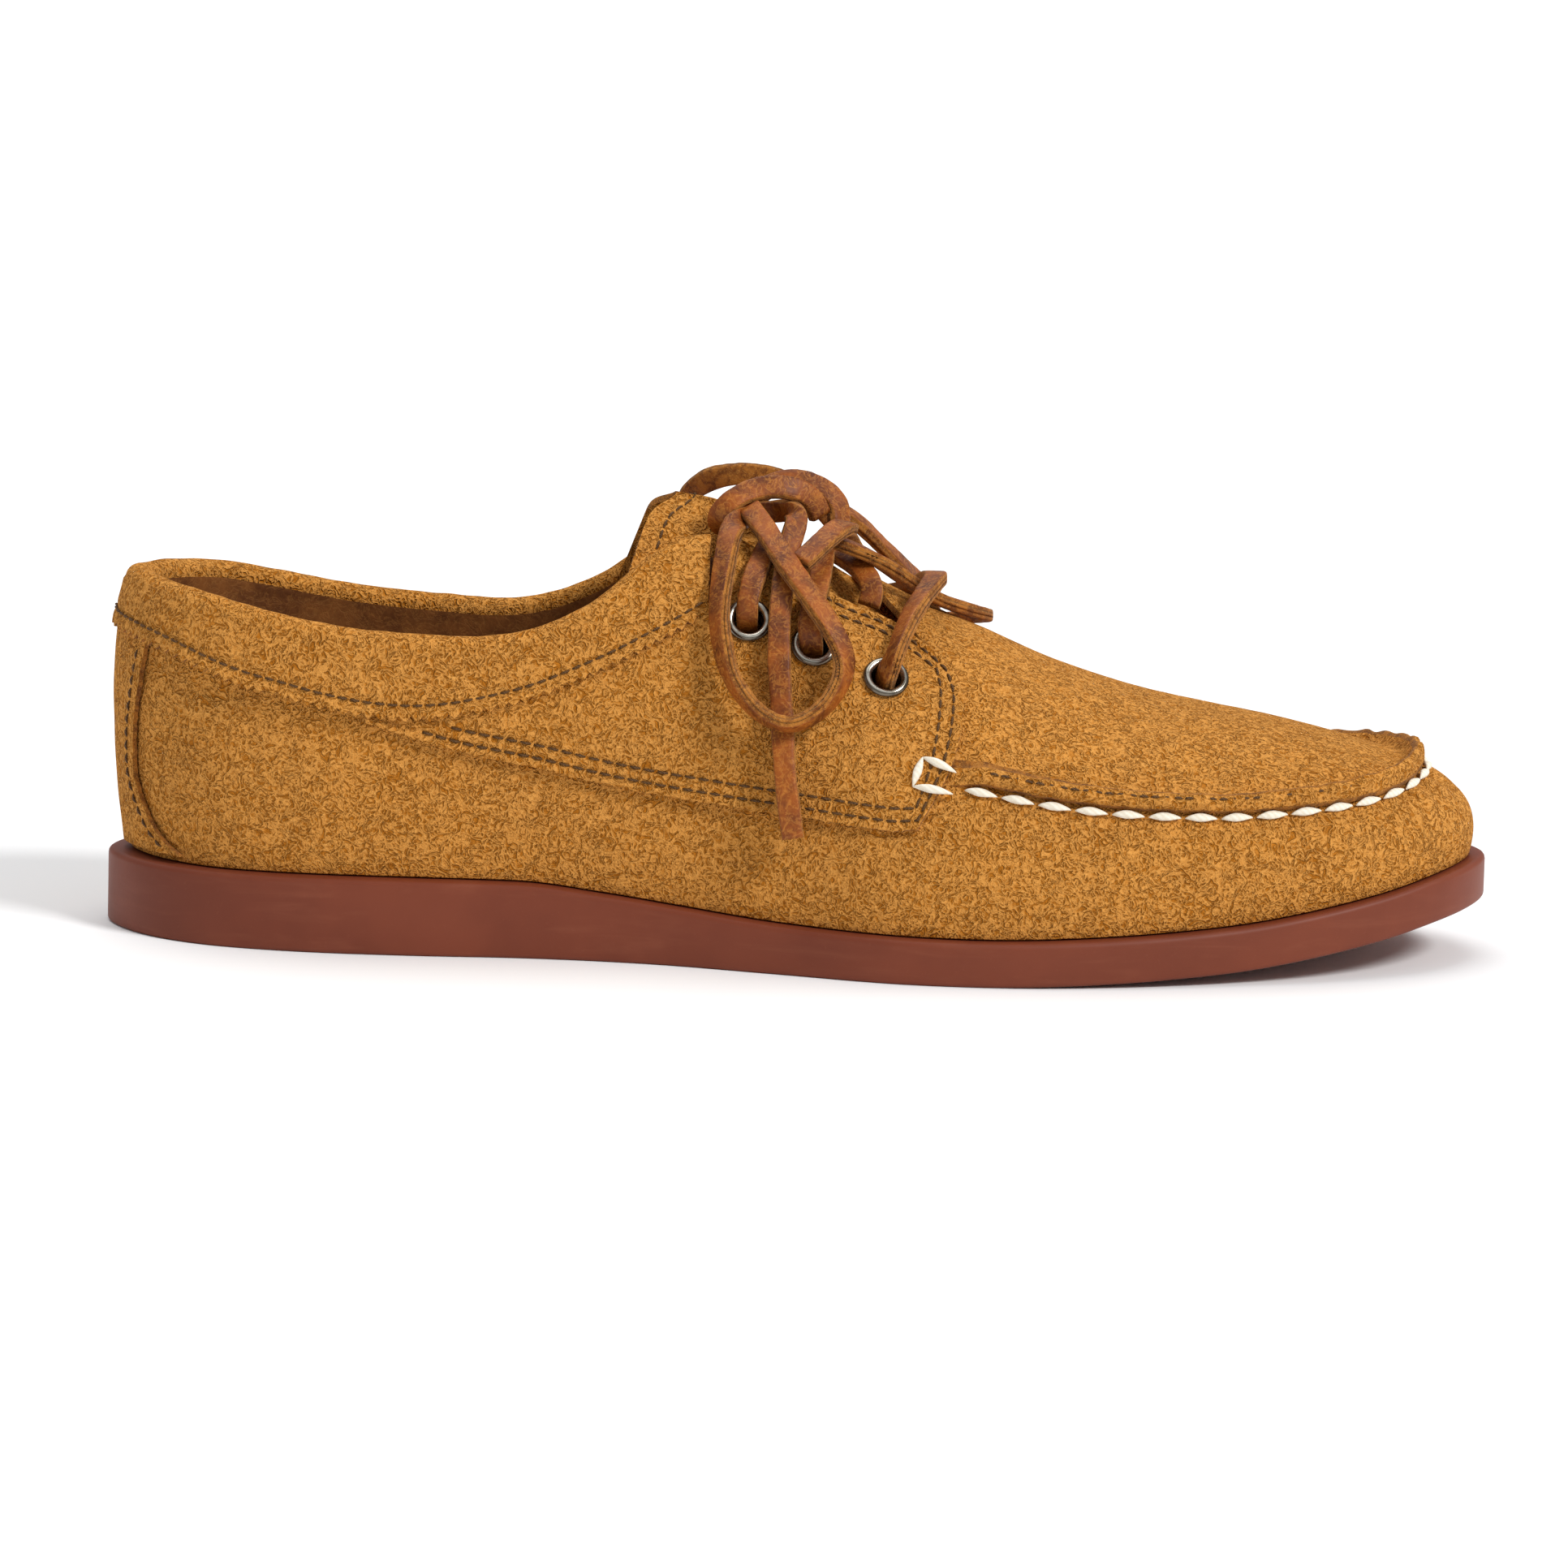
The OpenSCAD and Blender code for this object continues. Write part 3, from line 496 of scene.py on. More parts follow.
@dataclass
class Last:
    """The last: the surface that the upper is drawn over. It lies within 0.3 mm of the CAD source's.

    s runs round the sole (0 at the toe, 0.25 at the lateral waist, 0.5 at the heel) and t from the sole (0) to
    the ridge (1). A depth is measured outwards.
    """

    sole_length: float
    sole_heel_t: float = 16.5
    sole_toe_t: float = 9.8
    toe_spring: float = 12.8
    ledge: float = 3.5
    heel_pole: float = -112
    toe_pole: float = 92
    ball_x: float = 40
    ridge_slope: float = -0.2
    heel_tuck: float = 1.5
    outline: Table = (
        (150, 2.5), (146, -11), (136, -23.5), (118.5, -35), (96, -43.5), (72, -50), (47, -53.6), (22, -52.2),
        (-4, -44.8), (-30, -37.6), (-56, -34.6), (-82, -35), (-107, -33.6), (-128, -28), (-143, -16.5), (-150, 0),
        (-143, 16.5), (-128, 28), (-106, 33), (-80, 32), (-54, 28.6), (-28, 28.4), (-2, 34.5), (22, 44.5),
        (46, 51.8), (70, 53.7), (94, 51), (117.5, 43.5), (135, 31.5), (146, 17.5))
    ridge: Table = (
        (-112, 110), (-60, 105), (-30, 98), (-17, 94), (0, 87), (20, 76.5), (40, 67.5), (55, 61), (73, 55.5),
        (92, 51.5))
    ridge_y: Table = (
        (-112, 0), (-60, 0), (10, 4), (60, 4), (92, 3))
    tread: Table = (
        (20, 0), (40, 0), (60, 0.04), (80, 0.125), (100, 0.27), (126, 0.62), (138, 0.83), (150, 1))
    sole_blend: Table = (
        (-150, 1), (-60, 0.985), (-40, 0.69), (-24, 0.42), (-5, 0.16), (15, 0.04), (40, 0), (150, 0))
    belly: Table = (
        (-150, 6.8), (-110, 7), (-60, 4), (-20, 3), (20, 4), (60, 5), (92, 6), (120, 6), (150, 4.6))
    rise: Table = (
        (-150, 0.5), (-60, 0.5), (0, 0.45), (60, 0.5), (92, 0.55), (150, 0.6))
    dome: Table = (
        (-150, 1.08), (-110, 1.05), (-60, 0.98), (-20, 0.66), (20, 0.6), (60, 0.72), (92, 0.79), (120, 0.81),
        (150, 0.8))

    def __post_init__(self) -> None:
        """Works out the size against the last of a 300 mm sole."""
        self.size = self.sole_length / 300
        self.knots = np.array(self.outline, float)
        half = len(self.knots) // 2
        ring = np.vstack([self.knots, self.knots[:1]])
        stations = np.arange(len(ring)) / len(self.knots)
        self.lateral_s = ring[half::-1, 0], stations[half::-1]
        self.medial_s = ring[half:, 0], stations[half:]

    def foot_inset(self, s: np.ndarray) -> np.ndarray:
        """How far the foot of the upper sits in from the edge of the sole."""
        back = clamp01((-spline(self.knots, s * len(self.knots), True)[..., 0] - 122) / 26)
        return self.ledge + self.heel_tuck * ease(back)

    def outline_at(self, s: np.ndarray, inset: Any) -> Points:
        """Point of the sole outline at s, moved inwards."""
        count = len(self.knots)
        ahead, back = (spline(self.knots, (s + e) * count, True) for e in (0.001, -0.001))
        v = unit(ahead - back)
        inward = np.stack([v[..., 1], -v[..., 0]], -1)
        return self.size * spline(self.knots, s * count, True) + np.asarray(inset)[..., None] * inward

    def tread_z(self, x: np.ndarray) -> np.ndarray:
        """Height of the sole's underside."""
        ball = self.ball_x * self.size
        return np.where(x < ball, 0, self.toe_spring * smooth_curve(self.tread, x / self.size))

    def seat_z(self, x: np.ndarray) -> np.ndarray:
        """Height of the sole's top, where the upper sits."""
        share = smooth_curve(self.sole_blend, x / self.size)
        return self.tread_z(x) + blend(self.sole_toe_t, self.sole_heel_t, share)

    def at(self, s: np.ndarray, t: np.ndarray) -> Points:
        """Point of the last."""
        s, t = np.broadcast_arrays(np.asarray(s, float), np.asarray(t, float))
        foot = self.outline_at(s, self.foot_inset(s))
        x = foot[..., 0] / self.size
        xc = np.clip(x, self.heel_pole, self.toe_pole)
        top = self.size * np.stack([xc, smooth_curve(self.ridge_y, xc)], -1)
        away = foot - top
        r = np.linalg.norm(away, axis=-1)
        u = away / r[..., None]
        z0, z1 = self.seat_z(foot[..., 0]), self.size * smooth_curve(self.ridge, xc)
        d = smooth_curve(self.dome, x)
        fall = np.where(x > self.toe_pole, self.ridge_slope * d * r * u[..., 0], 0)
        out = bezier(t, r, r + self.size * smooth_curve(self.belly, x), d * r, 0)
        z = bezier(t, z0, blend(z0, z1, smooth_curve(self.rise, x)), z1 + fall, z1)
        return np.concatenate([top + u * out[..., None], z[..., None]], -1)

    def up(self, s: np.ndarray, t: np.ndarray) -> Points:
        """Step of the last from t - 0.01 to t + 0.01."""
        return self.at(s, t + 0.01) - self.at(s, t - 0.01)

    def along(self, s: np.ndarray, t: np.ndarray) -> Points:
        """Step of the last from s - 0.002 to s + 0.002."""
        return self.at(s + 0.002, t) - self.at(s - 0.002, t)

    def normal(self, s: np.ndarray, t: np.ndarray) -> Points:
        """Outward direction."""
        s, t = np.broadcast_arrays(np.asarray(s, float), np.asarray(t, float))
        return unit(np.cross(self.up(s, t), self.along(s, t)))

    def skin(self, s: np.ndarray, t: np.ndarray, depth: Any) -> Points:
        """Point at a depth outwards from the last."""
        return self.at(s, t) + np.asarray(depth, float)[..., None] * self.normal(s, t)

    def t_per_mm(self, s: np.ndarray, t: np.ndarray) -> np.ndarray:
        """Change of t that moves a point one millimetre."""
        return 0.02 / np.linalg.norm(self.up(s, t), axis=-1)

    def s_per_mm(self, s: np.ndarray, t: np.ndarray) -> np.ndarray:
        """Change of s that moves a point one millimetre."""
        return 0.004 / np.linalg.norm(self.along(s, t), axis=-1)

    def s_at(self, x: np.ndarray, medial: np.ndarray) -> np.ndarray:
        """Station of the outline at x, on one side."""
        sides = [np.interp(x, xs[np.argsort(xs)], ss[np.argsort(xs)])
                 for xs, ss in (self.lateral_s, self.medial_s)]
        return np.where(medial, sides[1], sides[0])


@dataclass
class Pattern:
    """The cut of the upper on the last: its seam lines and its layers' depths.

    The seam lines have fewer points than the CAD source's and lie within about 2 mm of them.
    """

    last: Last
    suede_t: float = 1.5
    lining_t: float = 0.7
    gap: float = 0.25
    roll: float = 6.3
    roll_skin: float = 1.2
    turn: float = 8
    quarter_front: float = 0.218
    quarter_rear: float = 0.381
    eyestay_rear: float = 0.286
    rim_rear: float = 0.222
    plug_rear: float = 0.222
    plug_throat: float = 0.25
    lap_proud: float = 1.35
    lap_reach: float = 9
    quarter_rows: Sequence[float] = (2.1, 4.8)
    collar_row: float = 3.6
    rim_row: float = 1.9
    collar_out: float = 1.5
    tongue_side: float = -5.4
    counter_t: float = 0.6
    apron_seam: Table = (
        (0, 0.54), (0.03, 0.52), (0.085, 0.44), (0.12, 0.42), (0.19, 0.4), (0.225, 0.39))
    topline: Table = (
        (0.286, 0.81), (0.295, 0.76), (0.303, 0.69), (0.32, 0.525), (0.34, 0.43), (0.37, 0.41), (0.4, 0.42),
        (0.44, 0.46), (0.5, 0.48))
    collar_edge: Table = (
        (0.286, 0.58), (0.3, 0.48), (0.32, 0.37), (0.34, 0.295), (0.37, 0.255), (0.41, 0.285), (0.45, 0.34),
        (0.5, 0.365))
    quarter_foot: Table = (
        (0.218, 0.25), (0.26, 0.22), (0.31, 0.19), (0.35, 0.205), (0.388, 0.26))
    quarter_slant: Table = (
        (0.24, 0.23), (0.42, 0.22), (0.6, 0.217), (0.68, 0.22))
    slant_rear: float = 17 / 72
    eyestay_edge: Table = (
        (0.218, 0.68), (0.225, 0.72), (0.24, 0.76), (0.255, 0.745), (0.286, 0.8))
    heel_stay_half: Table = (
        (0, 0.06), (0.05, 0.04), (0.14, 0.028), (0.36, 0.038))
    eyelet_s: Sequence[float] = (0.24, 0.26, 0.278)
    eyelet_t: float = 0.58

    def __post_init__(self) -> None:
        """Works out the depths of the layers."""
        self.counter_out = -self.suede_t - self.gap
        self.lining_out = self.counter_out - self.counter_t - self.gap
        self.quarter_out = self.gap + self.suede_t - 0.2

    def slanted(self, s: np.ndarray, t: np.ndarray) -> np.ndarray:
        """Lateral station of a point of the quarter, slanted with its front edge."""
        share = (s - self.quarter_front) / (self.slant_rear - self.quarter_front)
        slant = blend(smooth_curve(self.quarter_slant, t), self.slant_rear, share)
        return np.where(s > self.slant_rear, s, slant)

    def lap(self, up: np.ndarray) -> np.ndarray:
        """How far the collar stands proud where it laps the quarter, at a distance above its edge."""
        return self.lap_proud * (1 - ease(clamp01(np.asarray(up) / self.lap_reach)))

    def seam_t(self, s: np.ndarray) -> np.ndarray:
        """t of the hand-sewn seam between the tub and the plug."""
        return smooth_curve(self.apron_seam, folded(s))

    def rim_share(self, s: np.ndarray) -> np.ndarray:
        """1 where the plug has its raised rim, falling to 0 under the quarters."""
        return clamp01((self.rim_rear - folded(s)) / 0.012)

    def collar_edge_t(self, s: np.ndarray) -> np.ndarray:
        """t of the collar's lower edge."""
        return smooth_curve(self.collar_edge, folded(s))

    def roll_t(self, s: np.ndarray) -> np.ndarray:
        """t of the line along which the collar roll is centred."""
        top = smooth_curve(self.topline, folded(s))
        return top - self.roll / 2 * self.last.t_per_mm(s, top)

    def lining_top_t(self, s: np.ndarray) -> np.ndarray:
        """t of the lining's upper edge."""
        f, roll = folded(s), self.roll_t(s)
        return np.where(f < self.eyestay_rear, smooth_curve(self.eyestay_edge, f) - 0.01,
                        roll - 1.6 * self.last.t_per_mm(s, roll))

    def tub_top_t(self, s: np.ndarray) -> np.ndarray:
        """t of the tub's upper edge."""
        f, lining = folded(s), self.lining_top_t(s)
        front = self.seam_t(s) + 0.02 * self.rim_share(s)
        waist = np.minimum(0.388 + (f - 0.225) * 1.5, lining)
        return np.where(f < 0.225, front, np.where(f < 0.32, waist, lining))

    def quarter_top_t(self, s: np.ndarray) -> np.ndarray:
        """t of the quarter's upper edge."""
        f = folded(s)
        return np.where(f < self.eyestay_rear, smooth_curve(self.eyestay_edge, f), self.collar_edge_t(s) + 0.03)


# ---------------------------------------------------------------- meshes


def wander(points: Points, grain_mm: float, seed: int) -> np.ndarray:
    """Smooth random numbers from -1 to 1 over space, the same on each run.

    Args:
        points: Where they are read.
        grain_mm: Size of their waves.
        seed: Number of the pattern.

    Returns:
        One number for each point.
    """
    rng = np.random.default_rng(seed)
    total = np.zeros(points.shape[:-1])
    for _ in range(7):
        wave = unit(rng.normal(size=3)) * 2 * math.pi / (grain_mm * rng.uniform(0.7, 1.6))
        total += np.sin(points @ wave + rng.uniform(0, 2 * math.pi))
    return total / 4.5


@dataclass
class Piece:
    """Points, faces and face finishes of one mesh, gathered before it is made."""

    points: list[Points] = field(default_factory=list)
    faces: list[tuple[int, ...]] = field(default_factory=list)
    finish: list[int] = field(default_factory=list)
    count: int = 0

    def add(self, points: Points, faces: Sequence[Sequence[int]], finish: int | Sequence[int] = 0) -> None:
        """Adds points and the faces on them.

        Args:
            points: The points, in millimetres.
            faces: Faces that number these points from 0.
            finish: Material slot of all the faces, or of each.
        """
        faces = np.asarray(faces) + self.count
        self.faces += [tuple(f) for f in faces.tolist()]
        self.finish += [finish] * len(faces) if isinstance(finish, int) else list(finish)
        self.points.append(np.asarray(points, float).reshape(-1, 3))
        self.count += len(self.points[-1])

    def make(self, name: str, finishes: Sequence[bpy.types.Material], body: str, slot: str,
             stands_for: Sequence[str] = (), weld: bool = False, round_mm: float = 0) -> bpy.types.Object:
        """Makes the object and rides it on its body.

        Args:
            name: Name of the piece.
            finishes: Its materials, by slot.
            body: The CAD body it rides on.
            slot: The record's material slot; not used.
            stands_for: CAD nodes it replaces.
            weld: Joins points that coincide.
            round_mm: Width of the rounding of its sharp edges.

        Returns:
            The object.
        """
        mesh = bpy.data.meshes.new(name)
        mesh.from_pydata((np.concatenate(self.points) * MM).tolist(), [], self.faces)
        mesh.polygons.foreach_set("material_index", self.finish)
        for material in finishes:
            mesh.materials.append(material)
        work = bmesh.new()
        work.from_mesh(mesh)
        if weld:
            bmesh.ops.remove_doubles(work, verts=work.verts, dist=1e-7)
            bmesh.ops.dissolve_degenerate(work, edges=work.edges, dist=1e-7)
        bmesh.ops.recalc_face_normals(work, faces=work.faces)
        for f in work.faces:
            f.smooth = True
        work.to_mesh(mesh)
        work.free()
        thing = bpy.data.objects.new(name, mesh)
        bpy.context.scene.collection.objects.link(thing)
        if round_mm:
            edge = thing.modifiers.new("edge", "BEVEL")
            edge.width, edge.segments, edge.angle_limit = round_mm * MM, 3, math.radians(50)
            edge.harden_normals = False
        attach(thing, body)
        if stands_for:
            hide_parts(*stands_for)
        log.info("%s: %d points, %d faces on %s", name, len(mesh.vertices), len(mesh.polygons), body)
        return thing


def quads(rows: int, cols: int, wrap_rows: bool = False, wrap_cols: bool = False) -> np.ndarray:
    """Faces of a grid of points, row by row.

    Args:
        rows: Number of rows.
        cols: Number of points in each.
        wrap_rows: Joins the last row to the first.
        wrap_cols: Joins the last column to the first.

    Returns:
        Four point numbers for each face.
    """
    i, j = np.meshgrid(np.arange(rows - (not wrap_rows)), np.arange(cols - (not wrap_cols)), indexing="ij")
    a, b = i * cols, (i + 1) % rows * cols
    k = (j + 1) % cols
    return np.stack([a + j, a + k, b + k, b + j], -1).reshape(-1, 4)


def leather(outer: Points, inner: Points, wrap: bool = False, keep: np.ndarray | None = None,
            finish: tuple[Any, int, int] = (0, 0, 0)) -> Piece:
    """A sheet of leather between two grids of points, closed round its edges and its holes.

    Args:
        outer: Points of the outer face, rows by columns.
        inner: Points of the inner face.
        wrap: Joins the last row to the first.
        keep: False for each face that is cut away.
        finish: Material slots of the outer face (or of each of its columns), the inner face and the cut edges.

    Returns:
        The piece.
    """
    rows, cols = outer.shape[:2]
    total = rows * cols
    face = quads(rows, cols, wrap)
    skin = np.broadcast_to(np.asarray(finish[0]), (len(face) // (cols - 1), cols - 1)).ravel()
    if keep is not None:
        face, skin = face[keep.ravel()], skin[keep.ravel()]
    edges = np.concatenate([face[:, [k, (k + 1) % 4]] for k in range(4)])
    key = edges[:, 0] * total + edges[:, 1]
    back = edges[:, 1] * total + edges[:, 0]
    rim = edges[~np.isin(key, back)]
    walls = np.stack([rim[:, 1], rim[:, 0], rim[:, 0] + total, rim[:, 1] + total], -1)
    piece = Piece()
    piece.add(np.concatenate([outer.reshape(-1, 3), inner.reshape(-1, 3)]),
              np.concatenate([face, face[:, ::-1] + total, walls]),
              skin.tolist() + [finish[1]] * len(face) + [finish[2]] * len(walls))
    return piece


def swept(path: Points, section: Callable[[int], Points], sides: Points, ups: Points, piece: Piece,
          finish: Sequence[int] | int = 0) -> None:
    """Adds a solid swept along a path, closed at both ends.

    Args:
        path: Points of its centreline.
        section: Outline (across, up) at each point, always of the same length.
        sides: Direction across at each point.
        ups: Direction up at each point.
        piece: The piece it is added to.
        finish: Material slot of each side of the section, or of all.
    """
    rings = np.array([path[i] + section(i)[:, :1] * sides[i] + section(i)[:, 1:] * ups[i]
                      for i in range(len(path))])
    rows, cols = rings.shape[:2]
    walls = quads(rows, cols, wrap_cols=True)
    slots = finish if isinstance(finish, int) else list(finish) * (rows - 1)
    piece.add(np.concatenate([rings.reshape(-1, 3), [path[0], path[-1]]]), walls, slots)
    tip = piece.count - 2
    start, end = piece.count - 2 - rows * cols, piece.count - 2 - cols
    for k in range(cols):
        m = (k + 1) % cols
        piece.faces += [(start + m, start + k, tip), (end + k, end + m, tip + 1)]
        piece.finish += [finish if isinstance(finish, int) else 1] * 2


def tangents(path: Points) -> Points:
    """Direction of a path at each of its points."""
    return unit(np.gradient(path, axis=0))


def round_section(radius: float, sides: int = 8) -> Points:
    """A circle as (across, up) points."""
    a = np.arange(sides) * 2 * math.pi / sides
    return radius * np.stack([np.cos(a), np.sin(a)], -1)


# ---------------------------------------------------------------- stitching


@dataclass
class MachineRow:
    """A row of machine stitches laid in a groove of the leather."""

    length: float = 2.3
    pitch: float = 3.0
    radius: float = 0.3
    steps: int = 6

    def add_to(self, piece: Piece, path: Points, normals: Points) -> None:
        """Adds a stitch at each pitch along a path.

        Args:
            piece: The piece they go into.
            path: Closely spaced points on the leather.
            normals: The leather's outward direction there.
        """
        run = arc_lengths(path)
        for k in range(int(run[-1] / self.pitch)):
            at = (k + 0.2) * self.pitch + np.linspace(0, self.length, self.steps + 1)
            line = np.stack([np.interp(at, run, path[:, c]) for c in range(3)], -1)
            ups = unit(np.stack([np.interp(at, run, normals[:, c]) for c in range(3)], -1))
            arch = np.sin(np.linspace(0.06, 0.94, self.steps + 1) * math.pi)
            line = line + ups * (self.radius * (1.5 * arch - 0.9))[:, None]
            swept(line, lambda i: round_section(self.radius * (0.55 + 0.45 * arch[i]), 6),
                  unit(np.cross(tangents(line), ups)), ups, piece)


@dataclass
class HandStitch:
    """One thick waxed stitch: plump in the middle, pinched where it enters the leather."""

    radius: float = 0.95
    turns: float = 0.4
    steps: int = 14

    def add_to(self, piece: Piece, a: Points, b: Points, normal: Points) -> None:
        """Adds the stitch between two points.

        Args:
            piece: The piece it goes into.
            a: Where it comes out.
            b: Where it goes in.
            normal: The leather's outward direction.
        """
        f = np.linspace(0, 1, self.steps + 1)
        arch = np.sin(f * math.pi)
        line = a + (b - a) * f[:, None] + normal * (self.radius * (0.8 * arch ** 0.6 - 0.9))[:, None]
        across = unit(np.cross(tangents(line), normal))
        ups = unit(np.cross(across, tangents(line)))
        turn = ((f - 0.5) * self.turns * 2 * math.pi)[:, None]
        swept(line, lambda i: round_section(self.radius * (0.16 + 0.84 * arch[i] ** 0.8), 12) * (1, 0.74),
              np.cos(turn) * across + np.sin(turn) * ups, np.cos(turn) * ups - np.sin(turn) * across, piece)


# ---------------------------------------------------------------- sole and footbed


@dataclass
class Sole:
    """The rubber outsole and the boards and foam that lie on it inside the shoe."""

    pattern: Pattern
    wear: Wardrobe
    bevel: float = 1.3
    stations: int = 260

    def slab(self, inset: Any, low: Callable[[np.ndarray], np.ndarray], high: Callable[[np.ndarray], np.ndarray],
             bevel_low: float, bevel_high: float, crown: float = 0) -> Piece:
        """A slab under the foot with rounded edges.

        Args:
            inset: How far its outline lies inside the sole's.
            low: Height of its underside at x.
            high: Height of its top at x.
            bevel_low: Rounding of its lower edge.
            bevel_high: Rounding of its upper edge.
            crown: How much lower the middle of its top is than its rim.

        Returns:
            The piece.
        """
        s = np.arange(self.stations) / self.stations
        arc = np.linspace(0, math.pi / 2, 5)
        spine = np.stack([np.clip(self.pattern.last.outline_at(s, inset)[:, 0], -112, 100),
                          np.zeros(self.stations)], -1)
        rows = []
        edge = self.pattern.last.outline_at(s, inset)
        for f in (0.02, 0.35, 0.68):
            p = blend(spine, edge, f)
            rows.append((p, low(p[:, 0])))
        for a in arc:
            p = self.pattern.last.outline_at(s, inset + bevel_low * (1 - math.sin(a)))
            rows.append((p, low(p[:, 0]) + bevel_low * (1 - math.cos(a))))
        for f in (0.33, 0.66):
            rows.append((edge, blend(low(edge[:, 0]) + bevel_low, high(edge[:, 0]) - bevel_high, f)))
        for a in arc:
            p = self.pattern.last.outline_at(s, inset + bevel_high * (1 - math.cos(a)))
            rows.append((p, high(p[:, 0]) - bevel_high * (1 - math.sin(a))))
        for f in (0.9, 0.8, 0.68, 0.35, 0.02):
            p = blend(spine, edge, f)
            rows.append((p, high(p[:, 0]) - crown * (1 - f * f)))
        grid = np.stack([np.concatenate([p, z[:, None]], -1) for p, z in rows], 1)
        piece = Piece()
        piece.add(grid, quads(*grid.shape[:2], wrap_rows=True, wrap_cols=True))
        return piece

    def build(self) -> None:
        """Builds the outsole, the insole board, the footbed and the sock liner."""
        last = self.pattern.last
        inset = last.foot_inset(np.arange(self.stations) / self.stations) + self.pattern.suede_t + 1.4

        def above(h: float) -> Callable[[np.ndarray], np.ndarray]:
            """Height above the floor of the tub."""
            return lambda x: last.seat_z(x) + self.pattern.suede_t + h

        out = self.slab(0, last.tread_z, lambda x: last.seat_z(x) - 0.3, 0.9, self.bevel)
        out.make("outsole_rubber", [self.wear.rubber], SHOE, "brick_rubber", ["outsole"])
        self.slab(inset, above(0.4), above(1.8), 0.2, 0.2).make(
            "insole_board_cut", [self.wear.board], SHOE, "insole_board", ["insole_board"])
        self.slab(inset, above(1.9), above(4.4), 0.5, 0.9, 0.5).make(
            "footbed_pad", [self.wear.foam], SHOE, "footbed_foam", ["footbed"])
        self.slab(inset, above(4.5), above(5.5), 0.1, 0.4, 0).make(
            "sock_liner_leather", [self.wear.lining], SHOE, "lining_leather", ["sock_liner"])


# ---------------------------------------------------------------- upper


class Side(Enum):
    """The two sides of the shoe."""

    LATERAL = "lateral"
    MEDIAL = "medial"

    def station(self, s: Any) -> Any:
        """The station on this side that mirrors the lateral station s."""
        return s if self is Side.LATERAL else 1 - s


def eyelet_axis(cut: Pattern, side: Side, s: float) -> tuple[Points, Points]:
    """Centre of an eyelet on the last, and its outward direction."""
    station = np.array(side.station(s))
    return cut.last.at(station, np.array(cut.eyelet_t)), cut.last.normal(station, np.array(cut.eyelet_t))


def punched(cut: Pattern, grid: Points, sides: Sequence[Side], radius: float) -> np.ndarray:
    """False for each face of a grid of points that an eyelet's hole takes away.

    Args:
        cut: The pattern that places the eyelets.
        grid: The points, rows by columns.
        sides: The sides of the shoe whose eyelets pass through.
        radius: Radius of the holes.

    Returns:
        One truth value for each face.
    """
    middle = (grid[:-1, :-1] + grid[1:, 1:]) / 2
    keep = np.ones(middle.shape[:2], bool)
    for side in sides:
        for s in cut.eyelet_s:
            centre, n = eyelet_axis(cut, side, s)
            away = middle - centre
            keep &= np.linalg.norm(away - (away @ n)[..., None] * n, axis=-1) > radius
    return keep


